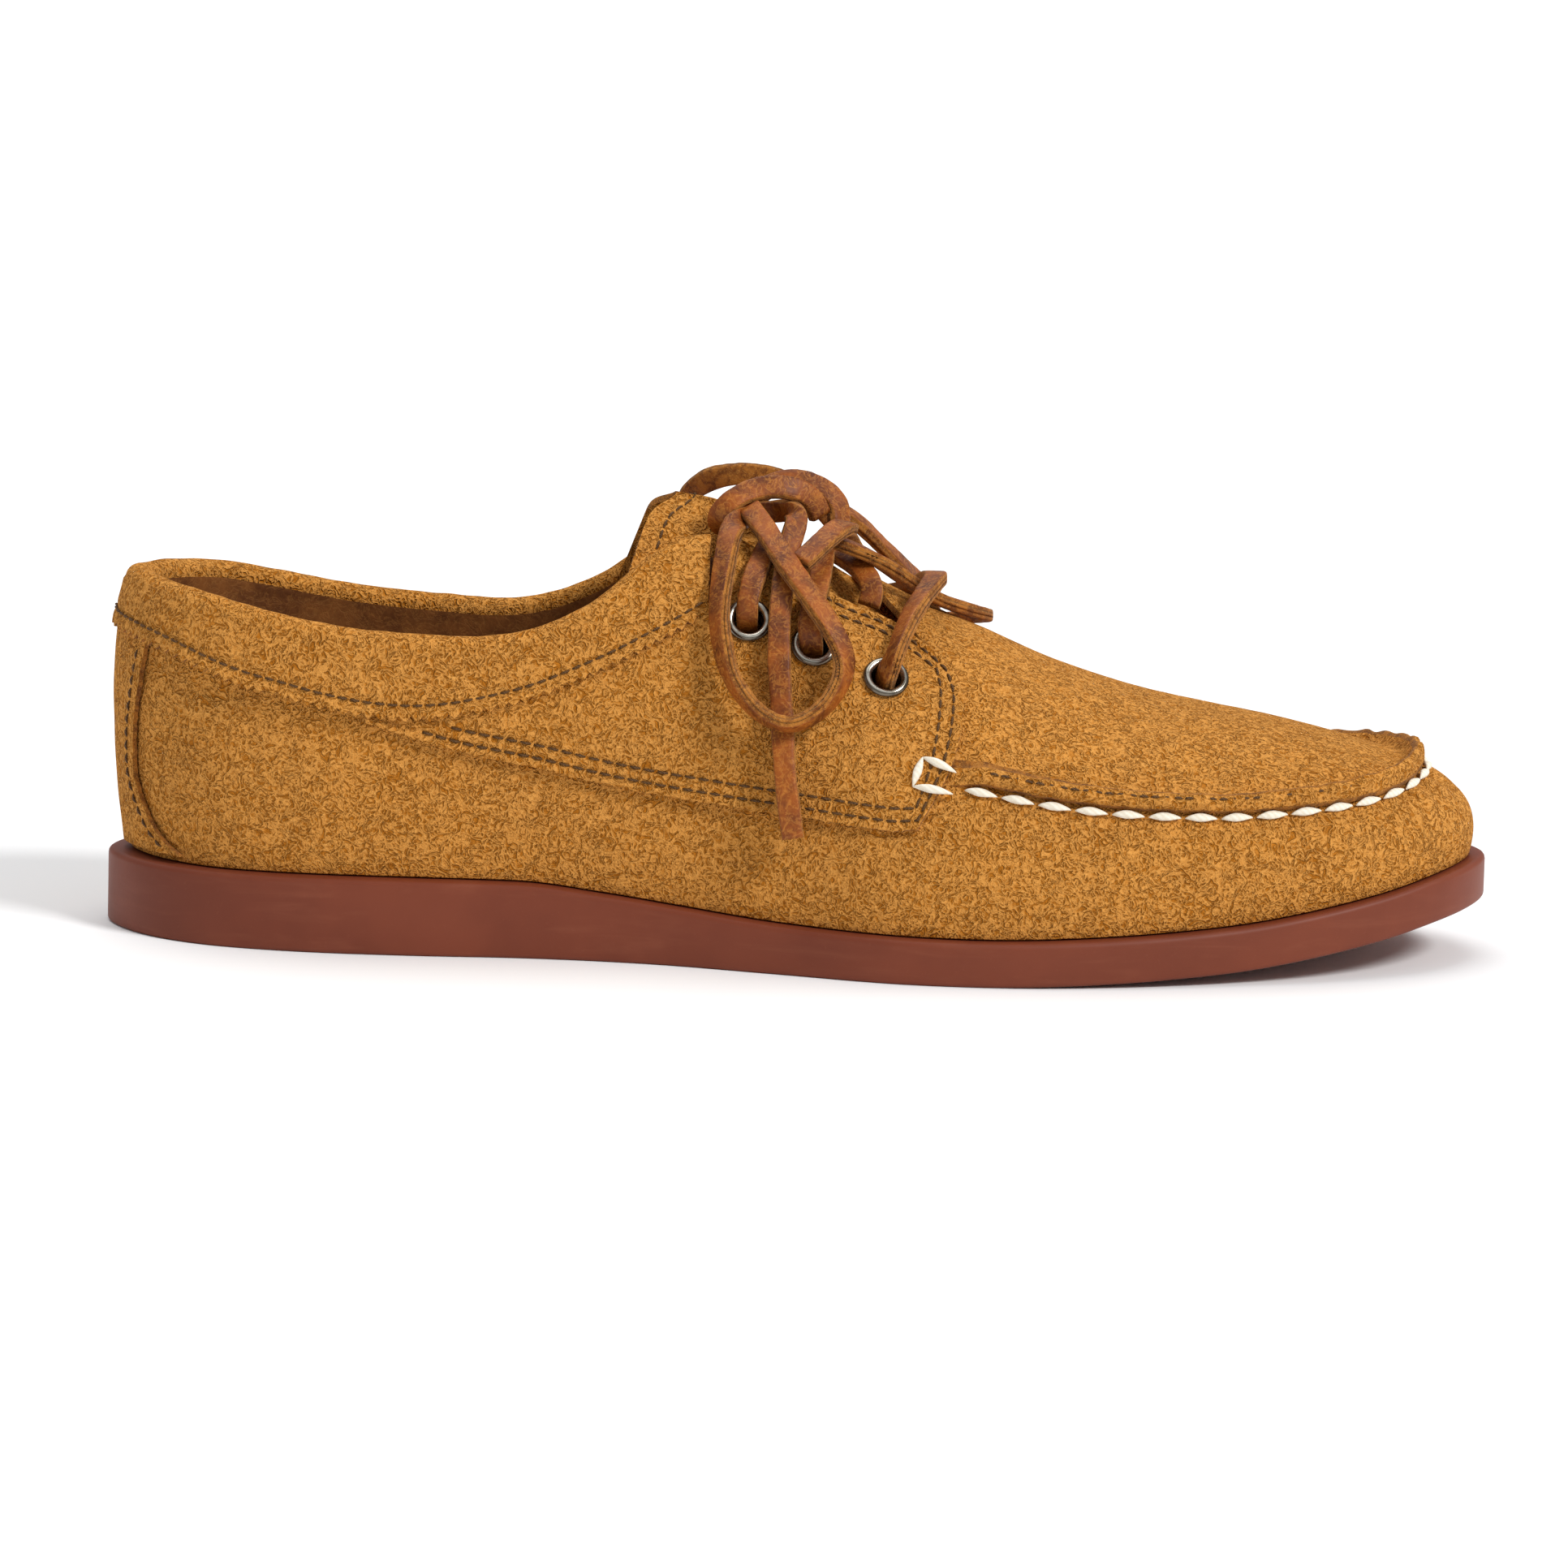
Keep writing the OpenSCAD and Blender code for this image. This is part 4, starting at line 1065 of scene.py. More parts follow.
@dataclass
class Upper:
    """The suede and leather panels over the last."""

    pattern: Pattern
    wear: Wardrobe
    fray: float = 0.22
    pucker: float = 0.45
    stitch_pitch: float = 8
    seam_end: float = 0.2215
    seam_below: float = 0.022
    rim_height: Table = (
        (0, 1.5), (0.5, 2.5), (1.3, 3.2), (2.5, 3.3), (3.3, 2.7), (4.0, 1.2), (5.2, 0.5), (8, 0.3))
    quarter_hole: float = 4.2
    lining_hole: float = 4.0

    def __post_init__(self) -> None:
        """Measures the apron seam, so that puckers fall between its stitches."""
        self.seam_s = np.linspace(-self.seam_end, self.seam_end, 751)
        last = self.pattern.last
        self.seam_path = last.skin(self.seam_s, self.pattern.seam_t(self.seam_s) - self.seam_below, 1.1)
        self.seam_run = arc_lengths(self.seam_path)

    def gather(self, s: np.ndarray) -> np.ndarray:
        """Pucker of the leather along the apron seam: 1 between two stitches, -1 at each."""
        run = np.interp((s + 0.5) % 1 - 0.5, self.seam_s, self.seam_run)
        return -np.cos(2 * math.pi * (run - 0.5) / self.stitch_pitch)

    def tub(self) -> None:
        """The tub: it wraps under the foot and up the walls, and puckers below the apron seam."""
        last, cut = self.pattern.last, self.pattern
        s = np.arange(540)[:, None] / 540
        f = np.linspace(0, 1, 34)[None, :] ** 0.9
        top = cut.tub_top_t(s)
        t = top * f
        down = (cut.seam_t(s) - t) / last.t_per_mm(s, t)
        share = cut.rim_share(s)
        near = hump(down, 2.5, 4.5) * share
        flat = last.at(s, t)
        crease = wander(flat, 9, 3) * 0.3 * hump(down, 0, 11)
        depth = self.pucker * near * (self.gather(s) + crease) + 0.12 * wander(flat, 26, 5) * (f * (1 - f) * 4)
        depth = depth - 0.5 * hump(down, 0, 1.1) * share
        depth = depth * (folded(s) < 0.3) + 0.1 * wander(flat, 20, 9) * (f * (1 - f) * 4) * (folded(s) >= 0.3)
        outer = last.skin(s, t, depth)
        inner = last.skin(s, t, np.minimum(depth * 0.5, 0) - cut.suede_t)
        under = []
        for k in (0.03, 0.4, 0.75):
            spine = np.stack([np.clip(outer[:, 0, 0], -112, 92), np.zeros(len(outer))], -1)
            p = blend(spine, outer[:, 0, :2], k)
            under.append(np.concatenate([p, (last.seat_z(p[:, 0]) + 0.02)[:, None]], -1))
        low = np.stack(under, 1)
        lift = np.array([0, 0, cut.suede_t])
        inner[:, 0, 2] = last.seat_z(inner[:, 0, 0]) + cut.suede_t
        leather(np.concatenate([low, outer], 1), np.concatenate([low + lift, inner], 1), wrap=True).make(
            "tub_suede", [self.wear.suede], SHOE, "tan_suede", ["moccasin_tub"], round_mm=0.35)

    def plug(self) -> None:
        """The plug over the toes, with its puckered rim."""
        last, cut = self.pattern.last, self.pattern
        rows = 250
        rear = np.linspace(0, 1, rows)[:, None]
        rim_f = np.concatenate([np.linspace(0, 0.2, 18)[:-1], np.linspace(0.2, 0.985, 30)])[None, :]
        sides = []
        for medial in (False, True):
            s = rear * blend(cut.plug_rear, cut.plug_throat, clamp01((rim_f - 0.5) * 2))
            s = -s if medial else s
            share = cut.rim_share(s)
            low = cut.seam_t(s) - 0.02 * (1 - share)
            t = blend(low, 1.0, rim_f)
            up = (t - low) / last.t_per_mm(s, t)
            bead = smooth_curve(self.rim_height, up)
            lumps = 1 + 0.13 * self.gather(s) * hump(up, 0.8, 1.8) + 0.06 * wander(last.at(s, t), 4, 2)
            groove = 0.35 * hump(up, cut.rim_row, 0.45)
            ripple = 0.28 * hump(up, 7, 4) * self.gather(s * 1.003)
            depth = blend(-0.05, bead * lumps - groove + ripple * 0.5, share)
            soft = 0.16 * wander(last.at(s, t), 28, 8) * clamp01((up - 8) / 10)
            stand = 1.5 * hump(up, cut.rim_row, 1.5) * share * clamp01((0.14 - folded(s)) / 0.06)
            outer = last.skin(s, t, depth + soft) + stand[..., None] * np.array([0, 0, 1.0])
            under = smooth_curve(((0, 0.1), (1.5, 0.2), (4, -0.8), (7, -1.15)), up)
            inner = last.skin(s, t, blend(-cut.suede_t, under, share))
            sides.append((outer, inner))
        outer = np.concatenate([sides[0][0], sides[1][0][:, ::-1]], 1)
        inner = np.concatenate([sides[0][1], sides[1][1][:, ::-1]], 1)
        # The band on the rim's upper flank takes the darker raw-edge finish: partly the rim's rough edge and
        # stitch dots, partly painted shade where the rim falls back to the plug.
        rim_edge_shade = ((rim_f[0, :-1] > 0.062) & (rim_f[0, :-1] < 0.095)).astype(int)
        leather(outer, inner, finish=(np.concatenate([rim_edge_shade, [0], rim_edge_shade[::-1]]), 0, 1)).make(
            "plug_suede", [self.wear.suede, self.wear.raw], SHOE, "tan_suede", ["toe_plug"], weld=True,
            round_mm=0.4)

    def quarter(self, side: Side) -> None:
        """One quarter: the outer panel that carries the eyelets."""
        last, cut = self.pattern.last, self.pattern
        s = np.linspace(cut.quarter_front, cut.quarter_rear, 170)[:, None]
        f = np.linspace(0, 1, 72)[None, :]
        low, high = smooth_curve(cut.quarter_foot, s), cut.quarter_top_t(s)
        t = blend(low, high, f)
        per_mm = last.t_per_mm(s, t)
        foot_mm, top_mm = (t - low) / per_mm, (high - t) / per_mm
        front_mm = (s - cut.quarter_front) / last.s_per_mm(s, t)
        edge_mm = np.minimum(np.minimum(foot_mm, front_mm), np.where(s < cut.eyestay_rear, top_mm, 99))
        raw = last.at(s, t)
        t = t + (wander(raw, 1.3, 11) * self.fray + wander(raw, 5, 12) * 0.12) * per_mm * (
            np.exp(-foot_mm) - np.exp(-top_mm))
        s = s + 0 * t + (wander(raw, 1.3, 13) * self.fray) * last.s_per_mm(s, t) * np.exp(-front_mm)
        s = cut.slanted(s, t)
        sunk = sum(0.3 * hump(edge_mm, row, 0.5) for row in cut.quarter_rows)
        depth = cut.quarter_out + 0.12 * wander(raw, 18, 14) - sunk + 0.35 * hump(edge_mm, 0.7, 0.8)
        s = side.station(s)
        outer, inner = last.skin(s, t, depth), last.skin(s, t, cut.gap + 0 * depth)
        keep = punched(cut, outer, [side], self.quarter_hole)
        leather(outer, inner, keep=keep, finish=(0, 0, 1)).make(
            f"quarter_{side.value}_suede", [self.wear.suede, self.wear.raw], SHOE, "tan_suede",
            [f"quarter_{side.value}"], round_mm=0.3)

    def lining(self) -> None:
        """The lining leather inside the quarters and round the heel."""
        last, cut = self.pattern.last, self.pattern
        s = np.linspace(0.226, 0.774, 420)[:, None]
        f = np.linspace(0, 1, 40)[None, :]
        t = blend(0.09, cut.lining_top_t(s), f)
        raw = last.at(s, t)
        depth = cut.lining_out - cut.lining_t - 0.25 * (1 + wander(raw, 22, 21)) * (f * (1 - f) * 4)
        outer, inner = last.skin(s, t, cut.lining_out + 0 * t), last.skin(s, t, depth)
        keep = punched(cut, outer, list(Side), self.lining_hole)
        leather(outer, inner, keep=keep).make(
            "quarter_lining_leather", [self.wear.lining], SHOE, "lining_leather", ["quarter_lining"],
            round_mm=0.15)

    def counter(self) -> None:
        """The stiff counter between the heel's suede and its lining."""
        last, cut = self.pattern.last, self.pattern
        s, t = np.linspace(0.4, 0.6, 60)[:, None], np.linspace(0.1, 0.33, 16)[None, :]
        outer = last.skin(s, t, cut.counter_out + 0 * s * t)
        leather(outer, last.skin(s, t, cut.counter_out - cut.counter_t + 0 * s * t)).make(
            "heel_counter_board", [self.wear.counter], SHOE, "counter_board", ["heel_counter"], round_mm=0.15)

    def heel_stay(self) -> None:
        """The strap of suede down the back of the heel."""
        last, cut = self.pattern.last, self.pattern
        t = np.linspace(0.012, 0.385, 64)[None, :]
        half = smooth_curve(cut.heel_stay_half, t)
        f = np.linspace(-1, 1, 60)[:, None]
        raw = last.at(0.5 + f * half, t)
        edge = (1 - np.abs(f)) * half / last.s_per_mm(0.5 + 0 * t, t)
        s = 0.5 + f * half * (1 + 0.02 * wander(raw, 1.6, 31) * np.abs(f) ** 8)
        sunk = 0.22 * hump(edge, 2, 0.5)
        outer = last.skin(s, t, cut.quarter_out - sunk + 0.12 * wander(raw, 12, 32))
        leather(outer, last.skin(s, t, cut.gap + 0.2 + 0 * s), finish=(0, 0, 1)).make(
            "heel_stay_suede", [self.wear.suede, self.wear.raw], SHOE, "tan_suede", ["heel_stay"], round_mm=0.3)

    def build(self) -> None:
        """Builds every panel."""
        self.tub()
        self.plug()
        for side in Side:
            self.quarter(side)
        self.lining()
        self.counter()
        self.heel_stay()


# ---------------------------------------------------------------- collar


@dataclass
class Collar:
    """The padded collar: a suede band with a pinked lower edge, rolled over a foam core."""

    pattern: Pattern
    wear: Wardrobe
    tooth: float = 2.6
    tooth_depth: float = 1.3
    samples_per_tooth: int = 4

    def __post_init__(self) -> None:
        """Lays out the stations, the same number to each tooth."""
        last = self.pattern.last
        s = np.linspace(0.289, 0.711, 900)
        run = arc_lengths(last.at(s, self.pattern.collar_edge_t(s)))
        count = int(run[-1] / self.tooth) * self.samples_per_tooth
        self.s = np.interp(np.linspace(0, run[-1], count + 1), run, s)

    def rolled(self, s: np.ndarray, radius: Any, angle: np.ndarray) -> Points:
        """Point of the roll, from its outer side (0) over the top (90 degrees) to its inner side (180)."""
        cut, last = self.pattern, self.pattern.last
        t = cut.roll_t(s)
        centre = last.skin(s, t, cut.collar_out - cut.roll / 2 + 0 * s)
        n, up = last.normal(s, t), unit(last.up(s, t))
        outward = np.cos(angle)[..., None] * n + np.sin(angle)[..., None] * up
        return centre + np.asarray(radius)[..., None] * outward

    def surface(self, skin: float) -> Points:
        """Grid of points of the band, from its pinked edge over the roll and down inside.

        Args:
            skin: How deep under its outer face.

        Returns:
            Rows along the collar, columns across it.
        """
        cut, last = self.pattern, self.pattern.last
        s = self.s[:, None]
        t0, edge = cut.roll_t(s), cut.collar_edge_t(s)
        place = np.arange(len(self.s))[:, None] % self.samples_per_tooth
        phase = np.abs(place / (self.samples_per_tooth / 2) - 1)
        f = np.linspace(0, 1, 15)[None, :-1]
        edge_per_mm = last.t_per_mm(s, edge)
        toothed = edge + phase * self.tooth_depth * edge_per_mm
        fade = clamp01(1 - f * 4)
        t = blend(blend(edge, toothed, fade), t0, f)
        up = (t - edge) / edge_per_mm
        raw = last.at(s, t)
        sunk = 0.4 * hump(up, cut.collar_row, 0.7)
        swell = 0.4 * np.sin(clamp01((up - 4) / 9) * math.pi) + 0.08 * wander(raw, 12, 41)
        proud = cut.lap(up) * clamp01((s - 0.291) / 0.004) * clamp01((0.709 - s) / 0.004)
        band = last.skin(s, t, cut.collar_out - skin + proud + (swell - sunk) * (skin == 0))
        angle = np.radians(np.linspace(0, 180, 17))[None, :]
        puff = 0.12 * wander(self.rolled(s, cut.roll / 2 + 0 * angle, angle), 7, 42) * np.sin(angle) ** 0.5
        over = self.rolled(s, cut.roll / 2 - skin + puff * (skin == 0), angle)
        turn = cut.turn * last.t_per_mm(s, t0)
        g = np.linspace(0, 1, 8)[None, 1:]
        hem = last.skin(s, t0 - turn * g, cut.collar_out - cut.roll + skin + 0 * g)
        return np.concatenate([band, over, hem], 1)

    def core(self) -> None:
        """The foam core of the roll."""
        cut = self.pattern
        rows, cols = 240, 13
        s = np.linspace(0.291, 0.709, rows)[:, None]
        angle = np.radians(np.linspace(0, 180, cols))[None, :]
        radius = cut.roll / 2 - cut.roll_skin - 0.15
        grid = self.rolled(s, radius + 0 * s * angle, angle)
        piece = Piece()
        piece.add(grid, quads(rows, cols, wrap_cols=True))
        piece.faces += [tuple(range(cols)), tuple(range(rows * cols - 1, (rows - 1) * cols - 1, -1))]
        piece.finish += [0, 0]
        foam = piece.make("collar_foam_core", [self.wear.padding], SHOE, "collar_foam", ["collar_foam"])

    def build(self) -> None:
        """Builds the band and its core."""
        hem = [0] * 30 + [2] * 7
        band = leather(self.surface(0), self.surface(self.pattern.roll_skin), finish=(hem, 0, 1)).make(
            "collar_band_suede", [self.wear.suede, self.wear.raw, self.wear.lining], SHOE, "tan_suede",
            ["collar_band"], round_mm=0.2)
        self.core()


# ---------------------------------------------------------------- tongue


@dataclass
class Tongue:
    """The tongue under the lace, sewn in at the throat."""

    pattern: Pattern
    wear: Wardrobe
    hinge_x: float = 30
    end_x: float = -33
    nose: float = 4.5
    swell: float = 2.6
    sweep: float = 8
    hem: float = 0.94
    clear: Table = ((-40, 0.62), (-32, 0.74), (-25, 0.8), (-17, 0.83), (30, 0.83))
    edge: Table = ((0, 0.64), (0.3, 0.54), (1, 0.5))

    def at(self, w: np.ndarray, v: np.ndarray, depth: Any) -> Points:
        """Point of the tongue.

        Args:
            w: 0 at the throat and 1 at the free end.
            v: -1 at the lateral edge and 1 at the medial edge.
            depth: How far above its face.

        Returns:
            The point.
        """
        w, v = np.broadcast_arrays(np.asarray(w, float), np.asarray(v, float))
        nose = self.nose * hump(v, 0, 0.17)
        x = blend(self.hinge_x, self.end_x - self.sweep * v * v + nose, w)
        s = self.pattern.last.s_at(x, v > 0)
        t = 1 - np.abs(v) * (1 - smooth_curve(self.edge, w))
        clear = smooth_curve(self.clear, x)
        lift = clamp01((t - clear) / (1 - clear)) ** 1.5 * blend(2.4, 4.8, w)
        lift = lift + self.swell * hump(w, 0.84, 0.11) * hump(v, 0.14, 0.2)
        return self.pattern.last.skin(s, np.minimum(t, 0.985), self.pattern.tongue_side + lift + depth)

    def build(self) -> None:
        """Builds the tongue and its hem stitches."""
        w, v = np.linspace(0, 1, 90)[:, None], np.linspace(-1, 1, 91)[None, :]
        raw = self.at(w, v, 0)
        outer = raw + (0.16 * wander(raw, 14, 51))[..., None] * np.array([0, 0, 1.0])
        leather(outer, self.at(w, v, -self.pattern.suede_t), finish=(0, 0, 1)).make(
            "tongue_suede", [self.wear.suede, self.wear.raw], TONGUE, "tan_suede", ["tongue"], round_mm=0.35)
        v = np.linspace(-6, 6, 81) / 11
        w = np.full(len(v), self.hem)
        hem = Piece()
        line = self.at(w, v, 0.16)
        normals = unit(self.at(w, v, 1.0) - line)
        MachineRow().add_to(hem, line, normals)
        hem.make("tongue_hem_stitches", [self.wear.brown_thread], TONGUE, "brown_thread", ["tongue_thread"])


# ---------------------------------------------------------------- eyelets and seams


@dataclass
class Eyelets:
    """The six metal eyelets: a barrel with a rolled flange outside and a flat one inside."""

    pattern: Pattern
    wear: Wardrobe
    bore: float = 3.25
    flange: float = 5
    segments: int = 56
    rows: Sequence[str] = ("front", "middle", "rear")

    def build(self) -> None:
        """Builds the eyelets."""
        cut = self.pattern
        top, back = cut.quarter_out, cut.lining_out - cut.lining_t
        roll = np.linspace(math.pi, 0, 11)
        mid, half = (self.bore + self.flange) / 2 - 0.05, (self.flange - self.bore) / 2
        profile = [(self.bore, back - 0.9), (self.bore, top + 0.2)]
        profile += [(mid + half * math.cos(a), top + 0.35 + 0.85 * math.sin(a)) for a in roll]
        profile += [(self.flange - 0.35, top + 0.1), (self.bore + 0.35, top + 0.1), (self.bore + 0.35, back - 0.4),
                    (self.flange - 0.6, back - 0.4), (self.flange - 0.6, back - 0.9)]
        section = np.array(profile)
        angle = np.arange(self.segments) * 2 * math.pi / self.segments
        for side in Side:
            for s, row in zip(cut.eyelet_s, self.rows):
                centre, n = eyelet_axis(cut, side, s)
                across = unit(np.cross(n, (1.0, 0.0, 0.0)))
                ahead = np.cross(across, n)
                radial = np.cos(angle)[:, None] * across + np.sin(angle)[:, None] * ahead
                grid = centre + section[None, :, :1] * radial[:, None] + section[None, :, 1:] * n
                piece = Piece()
                dark = [int(8 <= k % len(profile) <= 14) for k in range(len(angle) * len(profile))]
                piece.add(grid, quads(*grid.shape[:2], wrap_rows=True, wrap_cols=True), dark)
                piece.make(f"eyelet_{side.value}_{row}_nickel", [self.wear.nickel, self.wear.nickel_dark], SHOE,
                           "antique_nickel", [f"eyelet_{side.value}_{row}"])


@dataclass
class Seams:
    """Every row of stitches on the upper."""

    pattern: Pattern
    wear: Wardrobe
    upper: Upper
    hand_length: float = 7

    def laid(self, piece: Piece, line: Points, depth: float, row: MachineRow) -> None:
        """Adds a machine row along a list of (s, t) points at a depth."""
        last = self.pattern.last
        q = np.linspace(0, len(line) - 1, len(line) * 8)
        fine = np.stack([np.interp(q, np.arange(len(line)), line[:, c]) for c in range(2)], -1)
        row.add_to(piece, last.skin(fine[:, 0], fine[:, 1], depth + 0 * fine[:, 0]),
                   last.normal(fine[:, 0], fine[:, 1]))

    def quarter_line(self, inset: float, side: Side) -> Points:
        """Line set in from the foot, the front and the top of a quarter."""
        cut, last = self.pattern, self.pattern.last
        front = cut.quarter_front + inset * float(last.s_per_mm(np.array(cut.quarter_front), np.array(0.4)))

        def low(s: np.ndarray) -> np.ndarray:
            """t of the line above the foot of the quarter."""
            return smooth_curve(cut.quarter_foot, s) + inset * last.t_per_mm(s, 0.25 + 0 * s)

        def high(s: np.ndarray) -> np.ndarray:
            """t of the line below the eyestay's edge."""
            return smooth_curve(cut.eyestay_edge, s) - inset * last.t_per_mm(s, 0.7 + 0 * s)

        foot, top = np.linspace(0.372 - inset * 0.003, front, 60), np.linspace(front, 0.272, 30)
        ends = low(np.array(front)), high(np.array(front))
        line = np.concatenate([np.stack([foot, low(foot)], -1),
                               np.stack([np.full(14, front), np.linspace(*ends, 16)[1:-1]], -1),
                               np.stack([top, high(top)], -1)])
        return np.stack([side.station(cut.slanted(line[:, 0], line[:, 1])), line[:, 1]], -1)

    def machine_rows(self) -> None:
        """The machine-sewn rows."""
        cut, last = self.pattern, self.pattern.last
        for side in Side:
            rows = Piece()
            for inset in cut.quarter_rows:
                self.laid(rows, self.quarter_line(inset, side), cut.quarter_out - 0.05, MachineRow())
            rows.make(f"quarter_{side.value}_stitches", [self.wear.brown_thread], SHOE, "brown_thread",
                      [f"quarter_thread_{side.value}"])
        s = np.linspace(0.29, 0.71, 400)
        edge = cut.collar_edge_t(s)
        collar = Piece()
        self.laid(collar, np.stack([s, edge + cut.collar_row * last.t_per_mm(s, edge)], -1),
                  cut.collar_out - 0.1 + float(cut.lap(cut.collar_row)), MachineRow(2.0, 2.7))
        collar.make("collar_stitches", [self.wear.brown_thread], SHOE, "brown_thread", ["collar_thread"])
        stay = Piece()
        t = np.linspace(0.02, 0.35, 60)
        inset = 2 * last.s_per_mm(np.full(60, 0.5), t)
        for sign in (-1, 1):
            self.laid(stay, np.stack([0.5 + sign * (smooth_curve(cut.heel_stay_half, t) - inset), t], -1),
                      cut.quarter_out - 0.1, MachineRow())
        stay.make("heel_stay_stitches", [self.wear.brown_thread], SHOE, "brown_thread", ["heel_stay_thread"])
        rim = Piece()
        s = np.linspace(-0.21, 0.21, 420)
        low = cut.seam_t(s)
        self.laid(rim, np.stack([s, low + cut.rim_row * last.t_per_mm(s, low)], -1), 3.0, MachineRow(1.9, 2.5))
        rim.make("plug_rim_stitches", [self.wear.brown_thread], SHOE, "brown_thread", ["plug_thread"])

    def hand_sewn(self) -> None:
        """The cream hand stitches along the apron seam and at the quarters' corners."""
        last, cut, stitch = self.pattern.last, self.pattern, HandStitch()
        row = Piece()
        path, run = self.upper.seam_path, self.upper.seam_run
        normals = last.normal(self.upper.seam_s, cut.seam_t(self.upper.seam_s) - self.upper.seam_below)
        pitch = self.upper.stitch_pitch
        for k in range(int(run[-1] / pitch)):
            start = k * pitch + 0.5
            a, b, n = (np.array([np.interp(at, run, source[:, c]) for c in range(3)]) for at, source in (
                (start, path), (start + self.hand_length, path), (k * pitch + pitch / 2, normals)))
            stitch.add_to(row, a, b, n)
        depth = np.array(cut.quarter_out + 0.9)
        corners = {"top": (0.2286, 0.418), "foot": (0.231, 0.346), "front_top": (0.2187, 0.403),
                   "front_foot": (0.2195, 0.35)}
        for side in Side:
            spot = {k: last.skin(np.array(side.station(s)), np.array(t), depth) for k, (s, t) in corners.items()}
            n = last.normal(np.array(side.station(0.222)), np.array(0.39))
            for a, b in (("top", "foot"), ("top", "front_top"), ("foot", "front_foot")):
                stitch.add_to(row, spot[a], spot[b], n)
        row.make("hand_sewn_stitches", [self.wear.cream_thread], SHOE, "cream_thread", ["hand_stitches"])

    def build(self) -> None:
        """Builds every row."""
        self.machine_rows()
        self.hand_sewn()


# ---------------------------------------------------------------- lace


@dataclass(frozen=True)
class Strand:
    """One run of the rawhide thong.

    Attributes:
        route: Points it passes through, in millimetres.
        aside: Direction that the run never follows, from which its roll is measured.
        roll: Roll of its grain face from that direction, in degrees, as (share of its length, angle) pairs.
    """

    route: Table
    aside: Colour = (0, -1, 0)
    roll: Table = ((0, 0), (1, 0))


